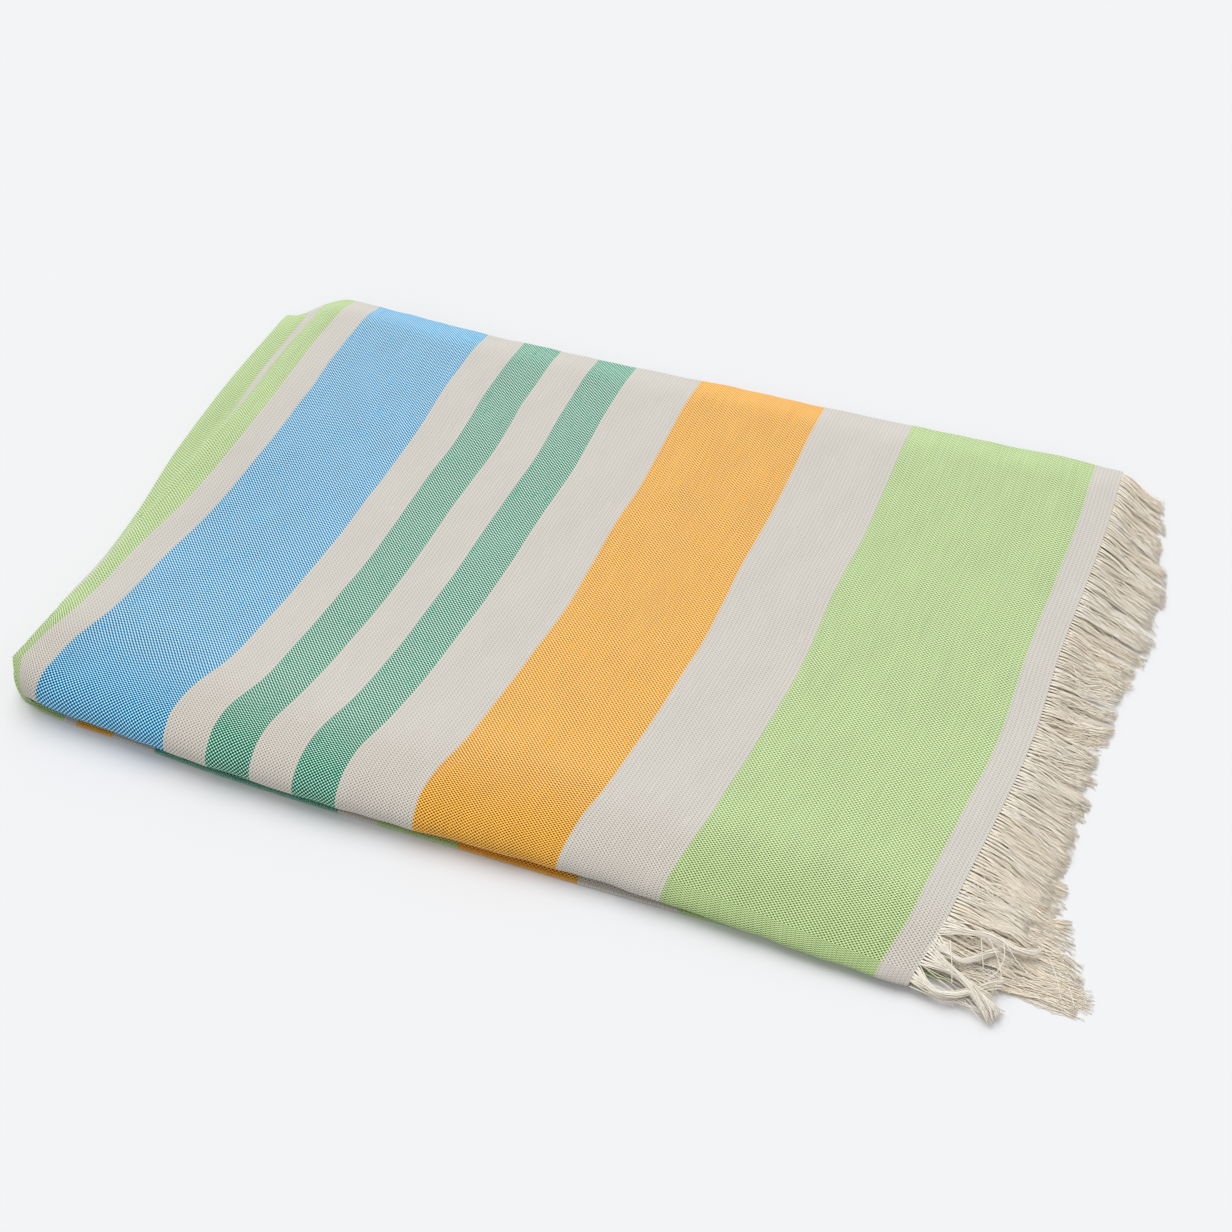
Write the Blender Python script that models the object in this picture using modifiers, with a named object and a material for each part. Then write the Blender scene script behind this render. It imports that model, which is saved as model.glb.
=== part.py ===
"""A striped flat-woven beach towel, folded twice and lying on a flat surface.

The towel is one cotton sheet with warp fringes at its two ends. It is folded in half
across its width (fold at the front, y = 0) and then in half along its length (fold at
the left, low x), so four layers lie on each other and both fringed ends are at the right.
A place on the cloth is given by "along", the distance from the upper fringed end, and
by its place across the folded section: on the upper leaf, in the front roll, or on the
under leaf. Metres, +Z up, the surface that the towel lies on is z = 0.
"""

import functools
import math
from collections import namedtuple

import bmesh
import bpy
import numpy as np

# ---- driving dimensions -------------------------------------------------------------

CLOTH_THICKNESS = 0.0014
FOLDED_DEPTH = 0.603          # front fold to back selvedge: half of the woven width
ORIGIN_X = 0.4358             # the box's middle, from the upper blue band's left edge
ORIGIN_Y = 0.2957             # the box's middle, from the front

# heights of the middle of each layer where the stack is flattest
BOTTOM_OUTER = 0.0007
BOTTOM_INNER = 0.0033
TOP_INNER = 0.0060
TOP_OUTER = 0.0088

# the upper half: where it ends at the right, and how its bands lean and bow in plan
HEM_X = 0.8150
BAND_LEAN = 0.0937            # sideways drift of a band for each metre of depth
BAND_BOW = 0.0056

# the upper leaf's soft form
BACK_RISE = 0.0065            # how much higher the back lies than the valley
VALLEY_Y = 0.20
RIDGE_SPREAD = 0.078          # width of the loose bulge beside the left fold
CREST_LEFT = 0.0385           # top of the front roll at the left, and its two falls
CREST_FALL = 0.0100
CREST_CURVE = 0.0165
CREST_Y = 0.042
CREST_SPREAD = 0.051
BACK_DROOP = 0.35
DROOP_WIDTH = 0.040
HEM_DROOP = 0.45              # sag of the woven end where the lower half is shorter
HEM_DROOP_WIDTH = 0.060
UNDER_SHARE = 0.45            # how much of the upper leaf's rise the under leaf follows

Band = namedtuple("Band", "yarn width")
BANDS = (
    Band("cream", 0.027), Band("lime", 0.1845), Band("cream", 0.093),
    Band("orange", 0.136), Band("cream", 0.074), Band("green", 0.0435),
    Band("cream", 0.0445), Band("green", 0.0435), Band("cream", 0.0435),
    Band("blue", 0.1305), Band("cream", 0.030), Band("lime", 0.032),
    Band("cream", 0.013), Band("lime", 0.087), Band("cream", 0.014),
    Band("orange", 0.040), Band("cream", 0.046), Band("green", 0.189),
    Band("cream", 0.039), Band("lime", 0.075), Band("orange", 0.109),
    Band("cream", 0.087), Band("lime", 0.225), Band("cream", 0.030),
)
CLOTH_LENGTH = sum(band.width for band in BANDS)

# the left fold from the front roll to the back (depth 1): the ridge, its drop to a low
# flap, and the rounded nose in which the sheet turns under
LeftEnd = namedtuple(
    "LeftEnd", "depth ridge_x ridge_rise drop_width flap_height nose_x nose_reach"
)
LEFT_END = (
    LeftEnd(0.07, -0.0280, 0.0330, 0.0155, 0.0380, -0.0440, 0.0155),
    LeftEnd(0.20, -0.0250, 0.0285, 0.0215, 0.0285, -0.0535, 0.0200),
    LeftEnd(0.35, -0.0250, 0.0275, 0.0165, 0.0245, -0.0510, 0.0185),
    LeftEnd(0.45, -0.0240, 0.0275, 0.0180, 0.0205, -0.0545, 0.0095),
    LeftEnd(0.60, -0.0160, 0.0310, 0.0270, 0.0170, -0.0655, 0.0060),
    LeftEnd(0.80, 0.0005, 0.0235, 0.0310, 0.0285, -0.0645, 0.0230),
    LeftEnd(1.00, 0.0155, 0.0195, 0.0250, 0.0275, -0.0585, 0.0110),
)

# how the bands sway in plan on the upper half, by depth: at its left end, at the green
# bands and at its right end
Sway = namedtuple("Sway", "y left middle right")
SWAY = (
    Sway(0.04, -0.0040, 0.0030, -0.0110),
    Sway(0.08, -0.0070, -0.0055, -0.0050),
    Sway(0.12, 0.0000, -0.0035, -0.0030),
    Sway(0.20, 0.0020, 0.0005, 0.0030),
    Sway(0.28, 0.0075, 0.0035, 0.0065),
    Sway(0.36, 0.0075, 0.0015, 0.0025),
    Sway(0.45, 0.0000, 0.0025, 0.0035),
    Sway(0.52, -0.0070, -0.0035, 0.0040),
    Sway(0.60, -0.0100, -0.0035, 0.0010),
)
SWAY_MIDDLE_X = 0.22
SWAY_START = -0.045           # no sway left of here, all of it this much further right
SWAY_WIDTH = 0.040

# the front roll rounds off the corner at the left
CORNER_ROUND = 0.0195
CORNER_START = -0.0075
CORNER_WIDTH = 0.0405

# at the back the turned part lies further in, most of all at the nose
INNER_INSET = 0.0070
UNDER_INSET = 0.0040
NOSE_INSET = 0.0440
INSET_RUN = 0.60              # length of the floor run over which the inset fades

# the front edge in plan: the upper fold, its roll's depth, how far the roll swings the
# bands to the right, and the flat lower fold
FrontEdge = namedtuple("FrontEdge", "x upper_y roll_depth lean lower_y")
FRONT_EDGE = (
    FrontEdge(-0.060, 0.003, 0.024, -0.0025, 0.010),
    FrontEdge(0.000, -0.002, 0.027, -0.0005, 0.000),
    FrontEdge(0.080, -0.007, 0.028, 0.0055, -0.003),
    FrontEdge(0.170, -0.011, 0.028, 0.0055, -0.007),
    FrontEdge(0.300, -0.012, 0.026, 0.0030, -0.008),
    FrontEdge(0.440, -0.007, 0.022, 0.0025, -0.006),
    FrontEdge(0.560, -0.003, 0.018, -0.0025, -0.004),
    FrontEdge(0.680, -0.006, 0.014, 0.0035, 0.000),
    FrontEdge(0.790, -0.009, 0.011, -0.0015, 0.006),
    FrontEdge(0.860, -0.005, 0.009, -0.0020, 0.013),
    FrontEdge(0.900, -0.003, 0.009, -0.0020, 0.019),
)
LOWER_ROLL_DEPTH = 0.0016

# lines of the solid across the folded section: places on a leaf, from the roll (0) to
# the back selvedge (1), and angles round the roll
CLOTH_PLACES = (0.0, 0.045, 0.10, 0.17, 0.26, 0.36, 0.47, 0.60, 0.72, 0.83, 0.93, 0.97, 1.0)
ROLL_ANGLES = tuple(math.radians(angle) for angle in (65, 38, 12, -12, -38, -65))

# rows of the solid along the cloth: about this far apart where it lies flat, and at
# shares of each stretch of the left fold, where they follow the fold's own features
TOP_ROW_STEP = 0.046
BOTTOM_ROW_STEP = 0.094
ROW_GAP = 0.002
BEND_START = 0.820
BEND_END = 1.000
BendRows = namedtuple("BendRows", "stretch shares")
BEND_ROWS = (
    BendRows("start to ridge", (0.0, 0.5, 0.85)),
    BendRows("ridge to drop end", (0.0, 0.25, 0.5, 0.75)),
    BendRows("drop end to turn", (0.0, 0.5)),
    BendRows("round the turn", (0.0, 0.2, 0.4, 0.6, 0.8)),
    BendRows("turn to floor run", (0.0, 0.4)),
)

# soft waves left in the upper leaf by earlier folding
Wave = namedtuple("Wave", "height x_pitch y_pitch phase")
WAVES = (
    Wave(0.0008, 0.310, 0.900, 0.4),
    Wave(0.0006, 0.900, 0.170, 1.9),
    Wave(0.0005, 0.190, 0.260, 3.1),
)

# fringe: locks of warp yarn on a narrow strip beside each woven end
FRINGE_GAP = 0.0003
STRIP_WIDTH = 0.0040
STRIP_THICKNESS = 0.0010
LOCK_PITCH = 0.0105
LOCK_WIDTH = 0.0046
LOCK_TIP_SHARE = 0.62
LOCK_RINGS = (0.20, 0.52, 1.0)
LOCK_SETTLE = 0.022           # distance in which a lock comes down to what it lies on
CLUMP_PITCH = 0.052
CLUMP_PULL = 0.0026
LENGTH_SPREAD = 0.16
FLOOR_LEVEL = STRIP_THICKNESS / 2
PILE_STEP = 0.0018            # one lock lies this much above the lock below it
OVER_LOWER = 0.0050           # height of a lock that lies on the lower half

# how far the two fringes reach out in plan, and their sideways drift for each metre
FringeReach = namedtuple("FringeReach", "y upper lower drift")
FRINGE_REACH = (
    FringeReach(0.00, 0.064, 0.046, -0.25),
    FringeReach(0.04, 0.070, 0.058, -0.12),
    FringeReach(0.10, 0.072, 0.056, -0.36),
    FringeReach(0.20, 0.064, 0.052, -0.22),
    FringeReach(0.29, 0.064, 0.050, 0.02),
    FringeReach(0.40, 0.074, 0.058, -0.36),
    FringeReach(0.52, 0.064, 0.060, -0.52),
    FringeReach(0.60, 0.046, 0.050, -0.66),
)


# ---- small helpers --------------------------------------------------------------------

def smooth(share):
    """Ease from 0 to 1 with level ends."""
    share = np.clip(share, 0.0, 1.0)
    return share * share * (3.0 - 2.0 * share)


def curve_through(rows, key, value, at):
    """Read a table as a smooth curve: column `value` against column `key`."""
    knots = np.array([getattr(row, key) for row in rows])
    values = np.array([getattr(row, value) for row in rows])
    slopes = np.gradient(values, knots)
    at = np.clip(at, knots[0], knots[-1])
    left = np.clip(np.searchsorted(knots, at) - 1, 0, len(knots) - 2)
    span = knots[left + 1] - knots[left]
    t = (at - knots[left]) / span
    return (
        (2 * t**3 - 3 * t**2 + 1) * values[left]
        + (t**3 - 2 * t**2 + t) * span * slopes[left]
        + (3 * t**2 - 2 * t**3) * values[left + 1]
        + (t**3 - t**2) * span * slopes[left + 1]
    )


# ---- the folded sheet -----------------------------------------------------------------

def hem_line(y):
    """Where the upper half's woven end lies, for a depth y."""
    share = np.clip(y / FOLDED_DEPTH, 0.0, 1.0)
    return HEM_X + BAND_LEAN * y + BAND_BOW * np.sin(math.pi * share**0.8)


def left_end_at(y):
    """The left fold's table read at depth y."""
    depth = y / FOLDED_DEPTH
    return LeftEnd(*(float(curve_through(LEFT_END, "depth", name, depth))
                     for name in LeftEnd._fields))


def resting_height(x, y, left):
    """The upper leaf without its front roll."""
    back = BACK_RISE * smooth((y - VALLEY_Y) / (FOLDED_DEPTH - VALLEY_Y))
    height = TOP_OUTER + back + left.ridge_rise / np.cosh((x - left.ridge_x) / RIDGE_SPREAD)
    for wave in WAVES:
        phase = x / wave.x_pitch + y / wave.y_pitch
        height = height + wave.height * (1.0 + np.sin(2 * math.pi * phase + wave.phase))
    droop = BACK_DROOP * smooth((y - FOLDED_DEPTH + DROOP_WIDTH) / DROOP_WIDTH) ** 2
    near_hem = smooth((x - hem_line(y)) / HEM_DROOP_WIDTH + 1.0)
    hem_droop = HEM_DROOP * smooth((y - VALLEY_Y) / VALLEY_Y) * near_hem
    return height - (1 - (1 - droop) * (1 - hem_droop)) * (height - TOP_OUTER)


def upper_height(x, y, left):
    """The upper leaf with the crest of its front roll."""
    low = resting_height(x, y, left)
    share = np.clip(x / HEM_X, 0.0, 1.1)
    crest = CREST_LEFT - CREST_FALL * share - CREST_CURVE * share**2
    crest = np.maximum(crest, low + 0.0006)
    nearness = np.exp(-((np.maximum(y, CREST_Y) - CREST_Y) / CREST_SPREAD) ** 2)
    return low + (crest - low) * nearness


Section = namedtuple("Section", "along outer inner turned marks")


@functools.lru_cache(maxsize=None)
def section_at(y):
    """The sheet's section at depth y, both leaves, from past the upper end round the fold.

    "turned" says how far the sheet has turned under, 0 to 1. "marks" are the distances
    at which the ridge, the drop's end, the turn and the run on the floor begin.
    """
    left = left_end_at(y)
    start_x = float(hem_line(y))
    turn_x = left.nose_x + left.nose_reach
    ridge_z = float(upper_height(left.ridge_x, y, left))
    flap = min(left.flap_height, ridge_z)

    top_x = np.linspace(start_x + 0.02, left.ridge_x, 420)
    top_z = upper_height(top_x, y, left)
    drop_t = np.linspace(0.0, 1.0, 50)[1:]
    drop_x = left.ridge_x - left.drop_width * drop_t
    drop_z = ridge_z + (flap - ridge_z) * smooth(drop_t)
    flap_x = np.linspace(left.ridge_x - left.drop_width, turn_x, 24)[1:]
    flap_z = np.full(flap_x.shape, flap)
    turn = np.linspace(0.0, math.pi, 90)[1:]
    nose_z = (flap + BOTTOM_OUTER) / 2
    run_x = np.linspace(turn_x, turn_x + 1.06, 12)[1:]

    nose_x = turn_x - left.nose_reach * np.sin(turn)
    x = np.concatenate([top_x, drop_x, flap_x, nose_x, run_x])
    z = np.concatenate([
        top_z, drop_z, flap_z,
        nose_z + (flap - nose_z) * np.cos(turn),
        np.full(run_x.shape, BOTTOM_OUTER),
    ])

    lift = UNDER_SHARE * float(smooth((y - 0.05) / 0.15))
    before = len(top_x) + len(drop_x) + len(flap_x)
    rest_z = np.concatenate([resting_height(top_x, y, left), z[len(top_x):before]])
    rest_z = np.minimum(rest_z, z[:before])
    inner_top = TOP_INNER + lift * np.maximum(rest_z - TOP_OUTER, 0.0)
    inner_mid = (inner_top[-1] + BOTTOM_INNER) / 2
    inner_reach = max(left.nose_reach - 0.0045, 0.0020)
    inner_x = np.concatenate([x[:before], turn_x - inner_reach * np.sin(turn), run_x])
    inner_z = np.concatenate([
        inner_top,
        inner_mid + (inner_top[-1] - inner_mid) * np.cos(turn),
        np.full(run_x.shape, BOTTOM_INNER),
    ])

    turned = np.concatenate([np.zeros(before), turn / math.pi, np.ones(run_x.shape)])
    steps = np.hypot(np.diff(x), np.diff(z))
    along = np.concatenate([[0.0], np.cumsum(steps)])
    along = along - np.interp(0.0, start_x - x[:len(top_x)], along[:len(top_x)])
    ends = np.cumsum([len(top_x), len(drop_x), len(flap_x), len(turn)]) - 1
    return Section(along, (x, z), (inner_x, inner_z), turned, along[ends])


def sway_at(x, y):
    """Sideways sway of the upper half's bands in plan."""
    sways = [float(curve_through(SWAY, "y", name, y)) for name in ("left", "middle", "right")]
    fade = smooth((x - SWAY_START) / SWAY_WIDTH)
    return fade * np.interp(x, (0.0, SWAY_MIDDLE_X, HEM_X), sways)


def depth_of(leaf, place):
    """The depth whose section a line across the folded sheet takes."""
    return CREST_Y if leaf == "roll" else CREST_Y + (FOLDED_DEPTH - CREST_Y) * place


def sheet_line(along, leaf, place):
    """Points of one line along the cloth, at the distances `along` from the upper end.

    leaf "upper" or "under" takes place 0 (roll) to 1 (back selvedge); leaf "roll" takes
    the angle round the front, a quarter turn up to a quarter turn down.
    """
    section = section_at(depth_of(leaf, place))
    outer = np.stack([np.interp(along, section.along, part) for part in section.outer])
    inner = np.stack([np.interp(along, section.along, part) for part in section.inner])
    under = smooth(np.interp(along, section.along, section.turned))
    sway = sway_at(outer[0], depth_of(leaf, place)) * (1 - under)
    outer[0] += sway
    inner[0] += sway

    front = curve_through(FRONT_EDGE, "x", "upper_y", outer[0]) * (1 - under)
    front = front + curve_through(FRONT_EDGE, "x", "lower_y", outer[0]) * under
    depth = curve_through(FRONT_EDGE, "x", "roll_depth", outer[0]) * (1 - under)
    depth = depth + LOWER_ROLL_DEPTH * under

    if leaf == "roll":
        plan = (outer + inner) / 2 + (outer - inner) / 2 * math.sin(place)
        corner = smooth((CORNER_START - plan[0]) / CORNER_WIDTH)
        lean = curve_through(FRONT_EDGE, "x", "lean", outer[0])
        swing = CORNER_ROUND * corner + lean * (1 - corner) * (1 - under)
        plan[0] = plan[0] + math.cos(place) * swing
        y = front + depth * (1 - math.cos(place))
    else:
        plan = outer if leaf == "upper" else inner
        ridge, _, turn, run = section.marks
        nose = smooth((along - ridge) / (turn - ridge)) * (1 - smooth((along - run) / INSET_RUN))
        inset = (0.0 if leaf == "upper" else INNER_INSET) + UNDER_INSET * under
        back = FOLDED_DEPTH - inset - (NOSE_INSET - inset) * nose
        y = depth + (back - depth) * place + front * (1 - place) ** 3
    return np.stack([plan[0] - ORIGIN_X, y - ORIGIN_Y, plan[1]], axis=1)


def cloth_lines(upper_places, roll_angles, under_places):
    """The section's lines in order: back selvedge, upper leaf, roll, under leaf."""
    lines = [("upper", place) for place in sorted(upper_places, reverse=True)]
    lines += [("roll", angle) for angle in roll_angles]
    lines += [("under", place) for place in sorted(under_places)]
    return lines


def band_edges():
    """Distances of the bands' edges from the upper end."""
    return np.concatenate([[0.0], np.cumsum([band.width for band in BANDS])])


def flat_rows(first, last, step):
    """Every band edge between two distances, with even rows in between."""
    stops = [edge for edge in band_edges() if first + ROW_GAP < edge < last - ROW_GAP]
    stops = [first] + stops + [last]
    rows = []
    for here, there in zip(stops, stops[1:]):
        count = max(1, round((there - here) / step))
        rows.extend(here + (there - here) * part / count for part in range(count))
    return rows


def row_distances(leaf, place):
    """Distances of all rows along one line of the cloth."""
    marks = section_at(depth_of(leaf, place)).marks
    stops = [BEND_START, *marks, BEND_END]
    rows = flat_rows(0.0, BEND_START, TOP_ROW_STEP)
    for bend, here, there in zip(BEND_ROWS, stops, stops[1:]):
        rows.extend(here + (there - here) * share for share in bend.shares)
    rows.extend(flat_rows(BEND_END, CLOTH_LENGTH, BOTTOM_ROW_STEP))
    return np.array(rows + [CLOTH_LENGTH])


# ---- building in Blender ----------------------------------------------------------------

YARNS = {
    "cream": (0.78, 0.74, 0.66, 1.0),
    "lime": (0.43, 0.66, 0.24, 1.0),
    "orange": (0.91, 0.44, 0.09, 1.0),
    "green": (0.06, 0.36, 0.20, 1.0),
    "blue": (0.09, 0.33, 0.66, 1.0),
}


def yarn_material(name, colour):
    """Matt cotton in one yarn colour."""
    material = bpy.data.materials.new(name)
    material.use_nodes = True
    shader = material.node_tree.nodes["Principled BSDF"]
    shader.inputs["Base Color"].default_value = colour
    shader.inputs["Roughness"].default_value = 0.9
    shader.inputs["Metallic"].default_value = 0.0
    return material


def towel_cloth(collection):
    """The woven sheet: a flat grid laid into the fold, then given its thickness."""
    lines = cloth_lines(CLOTH_PLACES, ROLL_ANGLES, CLOTH_PLACES)
    distances = np.stack([row_distances(*line) for line in lines], axis=1)
    points = np.stack(
        [sheet_line(distances[:, at], *line) for at, line in enumerate(lines)], axis=1
    )
    row_count, line_count = distances.shape
    edges = band_edges()

    mesh = bpy.data.meshes.new("towel_cloth")
    grid = bmesh.new()
    bmesh.ops.create_grid(
        grid, x_segments=line_count - 1, y_segments=row_count - 1, size=0.5
    )
    for vert in grid.verts:
        line = round((vert.co.x + 0.5) * (line_count - 1))
        row = round((vert.co.y + 0.5) * (row_count - 1))
        vert.co = points[row, line]
        vert.index = row * line_count + line
    for face in grid.faces:
        middle = np.mean([distances.flat[vert.index] for vert in face.verts])
        band = np.searchsorted(edges, middle) - 1
        face.material_index = list(YARNS).index(BANDS[band].yarn)
        face.smooth = True
    bmesh.ops.recalc_face_normals(grid, faces=grid.faces)
    grid.to_mesh(mesh)
    grid.free()

    cloth = bpy.data.objects.new("towel_cloth", mesh)
    collection.objects.link(cloth)
    for name, colour in YARNS.items():
        mesh.materials.append(yarn_material("cotton_" + name, colour))
    thickness = cloth.modifiers.new("Thickness", "SOLIDIFY")
    thickness.thickness = CLOTH_THICKNESS
    thickness.offset = 0.0
    return cloth


def lower_end_x(y):
    """Where the lower half's woven end lies, for a depth y."""
    section = section_at(min(max(y, 0.0), FOLDED_DEPTH))
    return float(np.interp(CLOTH_LENGTH, section.along, section.outer[0]))


def lock_height(x, y, leaf, end):
    """Height of a lock's middle: on the floor, or on what lies below it."""
    step = PILE_STEP if (leaf == "under") == (end == "lower") else 0.0
    settled = FLOOR_LEVEL + step
    if end == "upper":
        clear_x = lower_end_x(round(y, 2)) + 0.004
        clear_x += float(curve_through(FRINGE_REACH, "y", "lower", y))
        settled += (OVER_LOWER - FLOOR_LEVEL) * (1 - float(smooth((x - clear_x) / 0.03)))
    return settled


def strip_stations(end):
    """Places along a folded woven end, straight between the cloth's own lines.

    Each is its share between two lines, the leaf, and whether a lock starts there.
    """
    lines = cloth_lines(CLOTH_PLACES, ROLL_ANGLES, CLOTH_PLACES)
    stations = []
    for at in range(len(lines) - 1):
        leaf, place = lines[at]
        next_leaf, next_place = lines[at + 1]
        stations.append((at, 0.0, leaf, False))
        if leaf != next_leaf or leaf == "roll":
            continue
        run = abs(next_place - place) * FOLDED_DEPTH
        locks = max(1, round(run / LOCK_PITCH))
        half = min(0.5 * LOCK_WIDTH / run, 0.35 / locks)
        for lock in range(locks):
            middle = (lock + 0.5) / locks
            stations.append((at, middle - half, leaf, True))
            stations.append((at, middle + half, leaf, False))
    stations.append((len(lines) - 2, 1.0, lines[-1][0], False))
    return lines, stations


def fringe(collection, name, end, material):
    """One woven end's fringe: a strip along the folded end with locks standing out of it."""
    sign = -1.0 if end == "upper" else 1.0
    edge = 0.0 if end == "upper" else CLOTH_LENGTH
    lines, stations = strip_stations(end)
    reach = (FRINGE_GAP, FRINGE_GAP + STRIP_WIDTH)
    rails = [
        np.concatenate([sheet_line(np.array([edge + sign * out]), *line) for line in lines])
        for out in reach
    ]
    middle = rails[0]
    tangent = np.zeros(middle.shape)
    steps = np.diff(middle, axis=0)
    steps /= np.linalg.norm(steps, axis=1)[:, None]
    tangent[0] = steps[0]
    tangent[-1] = steps[-1]
    tangent[1:-1] = steps[:-1] + steps[1:]
    normal = np.cross(np.array([1.0, 0.0, 0.0]), tangent)
    normal *= STRIP_THICKNESS / 2 / np.linalg.norm(normal, axis=1)[:, None]

    work = bmesh.new()
    rings = []
    for at, share, _, _ in stations:
        inner, outer, up = (
            table[at] * (1 - share) + table[at + 1] * share
            for table in (rails[0], rails[1], normal)
        )
        corners = (inner + up, outer + up, outer - up, inner - up)
        rings.append([work.verts.new(corner) for corner in corners])
    work.faces.new(rings[0])
    work.faces.new(reversed(rings[-1]))
    lock_roots = []
    for here, there, station in zip(rings, rings[1:], stations):
        for side in range(4):
            turn = (side + 1) % 4
            face = work.faces.new((here[side], there[side], there[turn], here[turn]))
            if side == 1 and station[3]:
                lock_roots.append((face, station[2]))
    bmesh.ops.recalc_face_normals(work, faces=work.faces)
    for face, leaf in lock_roots:
        grow_lock(work, face, leaf, end)
    bmesh.ops.recalc_face_normals(work, faces=work.faces)

    mesh = bpy.data.meshes.new(name)
    work.to_mesh(mesh)
    work.free()
    mesh.materials.append(material)
    thing = bpy.data.objects.new(name, mesh)
    collection.objects.link(thing)
    return thing


def grow_lock(work, face, leaf, end):
    """Draw one lock out of its root face, ring by ring, down to where it lies."""
    root = face.calc_center_median()
    offsets = [vert.co - root for vert in face.verts]
    depth = root.y + ORIGIN_Y
    wobble = math.sin(root.y * 97.0 + (2.0 if leaf == "upper" else 0.7) + len(end))
    length = float(curve_through(FRINGE_REACH, "y", end, depth)) - STRIP_WIDTH
    length *= 1.0 - LENGTH_SPREAD * (0.5 + 0.5 * wobble)
    drift = float(curve_through(FRINGE_REACH, "y", "drift", depth))
    phase = 2 * math.pi * (root.y / CLUMP_PITCH) + (0.0 if leaf == "upper" else 2.1)
    pull = CLUMP_PULL * math.sin(phase)
    for step in LOCK_RINGS:
        out = length * step
        x = root.x + out
        y = root.y + drift * out + pull * float(smooth(step))
        ease = 1.0 - float(smooth(out / LOCK_SETTLE))
        settled = lock_height(x + ORIGIN_X, y + ORIGIN_Y, leaf, end)
        z = max(settled + (root.z - settled) * ease, FLOOR_LEVEL)
        grown = bmesh.ops.extrude_discrete_faces(work, faces=[face])
        face = grown["faces"][0]
        narrow = 1.0 - (1.0 - LOCK_TIP_SHARE) * step
        for vert, offset in zip(face.verts, offsets):
            flat = -FLOOR_LEVEL if offset.z < 0 else FLOOR_LEVEL
            vert.co = (x, y + offset.y * narrow, z + flat)


def main():
    for thing in list(bpy.data.objects):
        bpy.data.objects.remove(thing, do_unlink=True)
    towel = bpy.data.collections.new("beach_towel")
    bpy.context.scene.collection.children.link(towel)
    towel_cloth(towel)
    cream = bpy.data.materials["cotton_cream"]
    fringe(towel, "fringe_upper", "upper", cream)
    fringe(towel, "fringe_lower", "lower", cream)


main()
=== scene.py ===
"""Looks of a striped flat-woven beach towel, folded twice and lying on a pale surface.

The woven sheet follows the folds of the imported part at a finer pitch, and takes its
coloured bands, weave and slubs from its own UV map, which holds real distances on the
cloth. The fringes are built yarn by yarn. Metres, +Z up, the surface is z = 0.
"""

import functools
import math
from collections import namedtuple

import bpy
import numpy as np
from mathutils import Matrix, Vector


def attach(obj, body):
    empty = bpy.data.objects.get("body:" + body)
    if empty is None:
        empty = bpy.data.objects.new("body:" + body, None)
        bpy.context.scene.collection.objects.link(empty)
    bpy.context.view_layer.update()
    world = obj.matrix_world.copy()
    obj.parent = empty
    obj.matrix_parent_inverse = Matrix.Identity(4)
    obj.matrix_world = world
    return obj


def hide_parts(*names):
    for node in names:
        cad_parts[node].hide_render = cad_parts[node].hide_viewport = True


bl_info = {
    "name": "Folded beach towel",
    "version": (1, 0, 0),
    "blender": (4, 5, 0),
    "location": "View3D > Sidebar > Towel",
    "description": "Builds a folded, striped beach towel with fringed ends",
    "category": "Object",
}

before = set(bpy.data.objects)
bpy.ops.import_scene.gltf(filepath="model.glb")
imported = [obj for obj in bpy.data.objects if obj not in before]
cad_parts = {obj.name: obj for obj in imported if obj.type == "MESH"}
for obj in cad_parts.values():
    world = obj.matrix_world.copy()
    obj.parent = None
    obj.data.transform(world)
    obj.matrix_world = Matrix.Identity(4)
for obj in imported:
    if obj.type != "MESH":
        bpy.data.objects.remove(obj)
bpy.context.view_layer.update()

# ---- driving dimensions ----

FOLDED_DEPTH = 0.603          # front fold to back selvedge: half of the woven width
ORIGIN_X = 0.4358             # the box's middle, from the upper blue band's left edge
ORIGIN_Y = 0.2957             # the box's middle, from the front

# heights of the middle of each layer where the stack is flattest
BOTTOM_OUTER = 0.0007
BOTTOM_INNER = 0.0033
TOP_INNER = 0.0060
TOP_OUTER = 0.0088

# the upper half: where it ends at the right, and how its bands lean and bow in plan
HEM_X = 0.8150
BAND_LEAN = 0.0937            # sideways drift of a band for each metre of depth
BAND_BOW = 0.0056

# the upper leaf's soft form
BACK_RISE = 0.0065            # how much higher the back lies than the valley
VALLEY_Y = 0.20
RIDGE_SPREAD = 0.078          # width of the loose bulge beside the left fold
CREST_LEFT = 0.0385           # top of the front roll at the left, and its two falls
CREST_FALL = 0.0100
CREST_CURVE = 0.0165
CREST_Y = 0.042
CREST_SPREAD = 0.051
CREST_GAP = 0.0006            # the crest stays at least this much above the lying leaf
BACK_DROOP = 0.35
DROOP_WIDTH = 0.040
HEM_DROOP = 0.45              # sag of the woven end where the lower half is shorter
HEM_DROOP_WIDTH = 0.060
UNDER_SHARE = 0.45            # how much of the upper leaf's rise the under leaf follows
UNDER_START = 0.05            # from this depth on, and in full this much further back
UNDER_RUN = 0.15

# the coloured bands in order from the upper end; those on the upper half and round the
# left fold, the first thirteen, are fitted to the photograph
Band = namedtuple("Band", "yarn width")
BANDS = (
    Band("cream", 0.027), Band("lime", 0.1845), Band("cream", 0.093),
    Band("orange", 0.136), Band("cream", 0.074), Band("green", 0.0435),
    Band("cream", 0.0445), Band("green", 0.0435), Band("cream", 0.0435),
    Band("blue", 0.1305), Band("cream", 0.030), Band("lime", 0.032),
    Band("cream", 0.013), Band("lime", 0.087), Band("cream", 0.014),
    Band("orange", 0.040), Band("cream", 0.046), Band("green", 0.189),
    Band("cream", 0.039), Band("lime", 0.075), Band("orange", 0.109),
    Band("cream", 0.087), Band("lime", 0.225), Band("cream", 0.030),
)
CLOTH_LENGTH = sum(band.width for band in BANDS)

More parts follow.
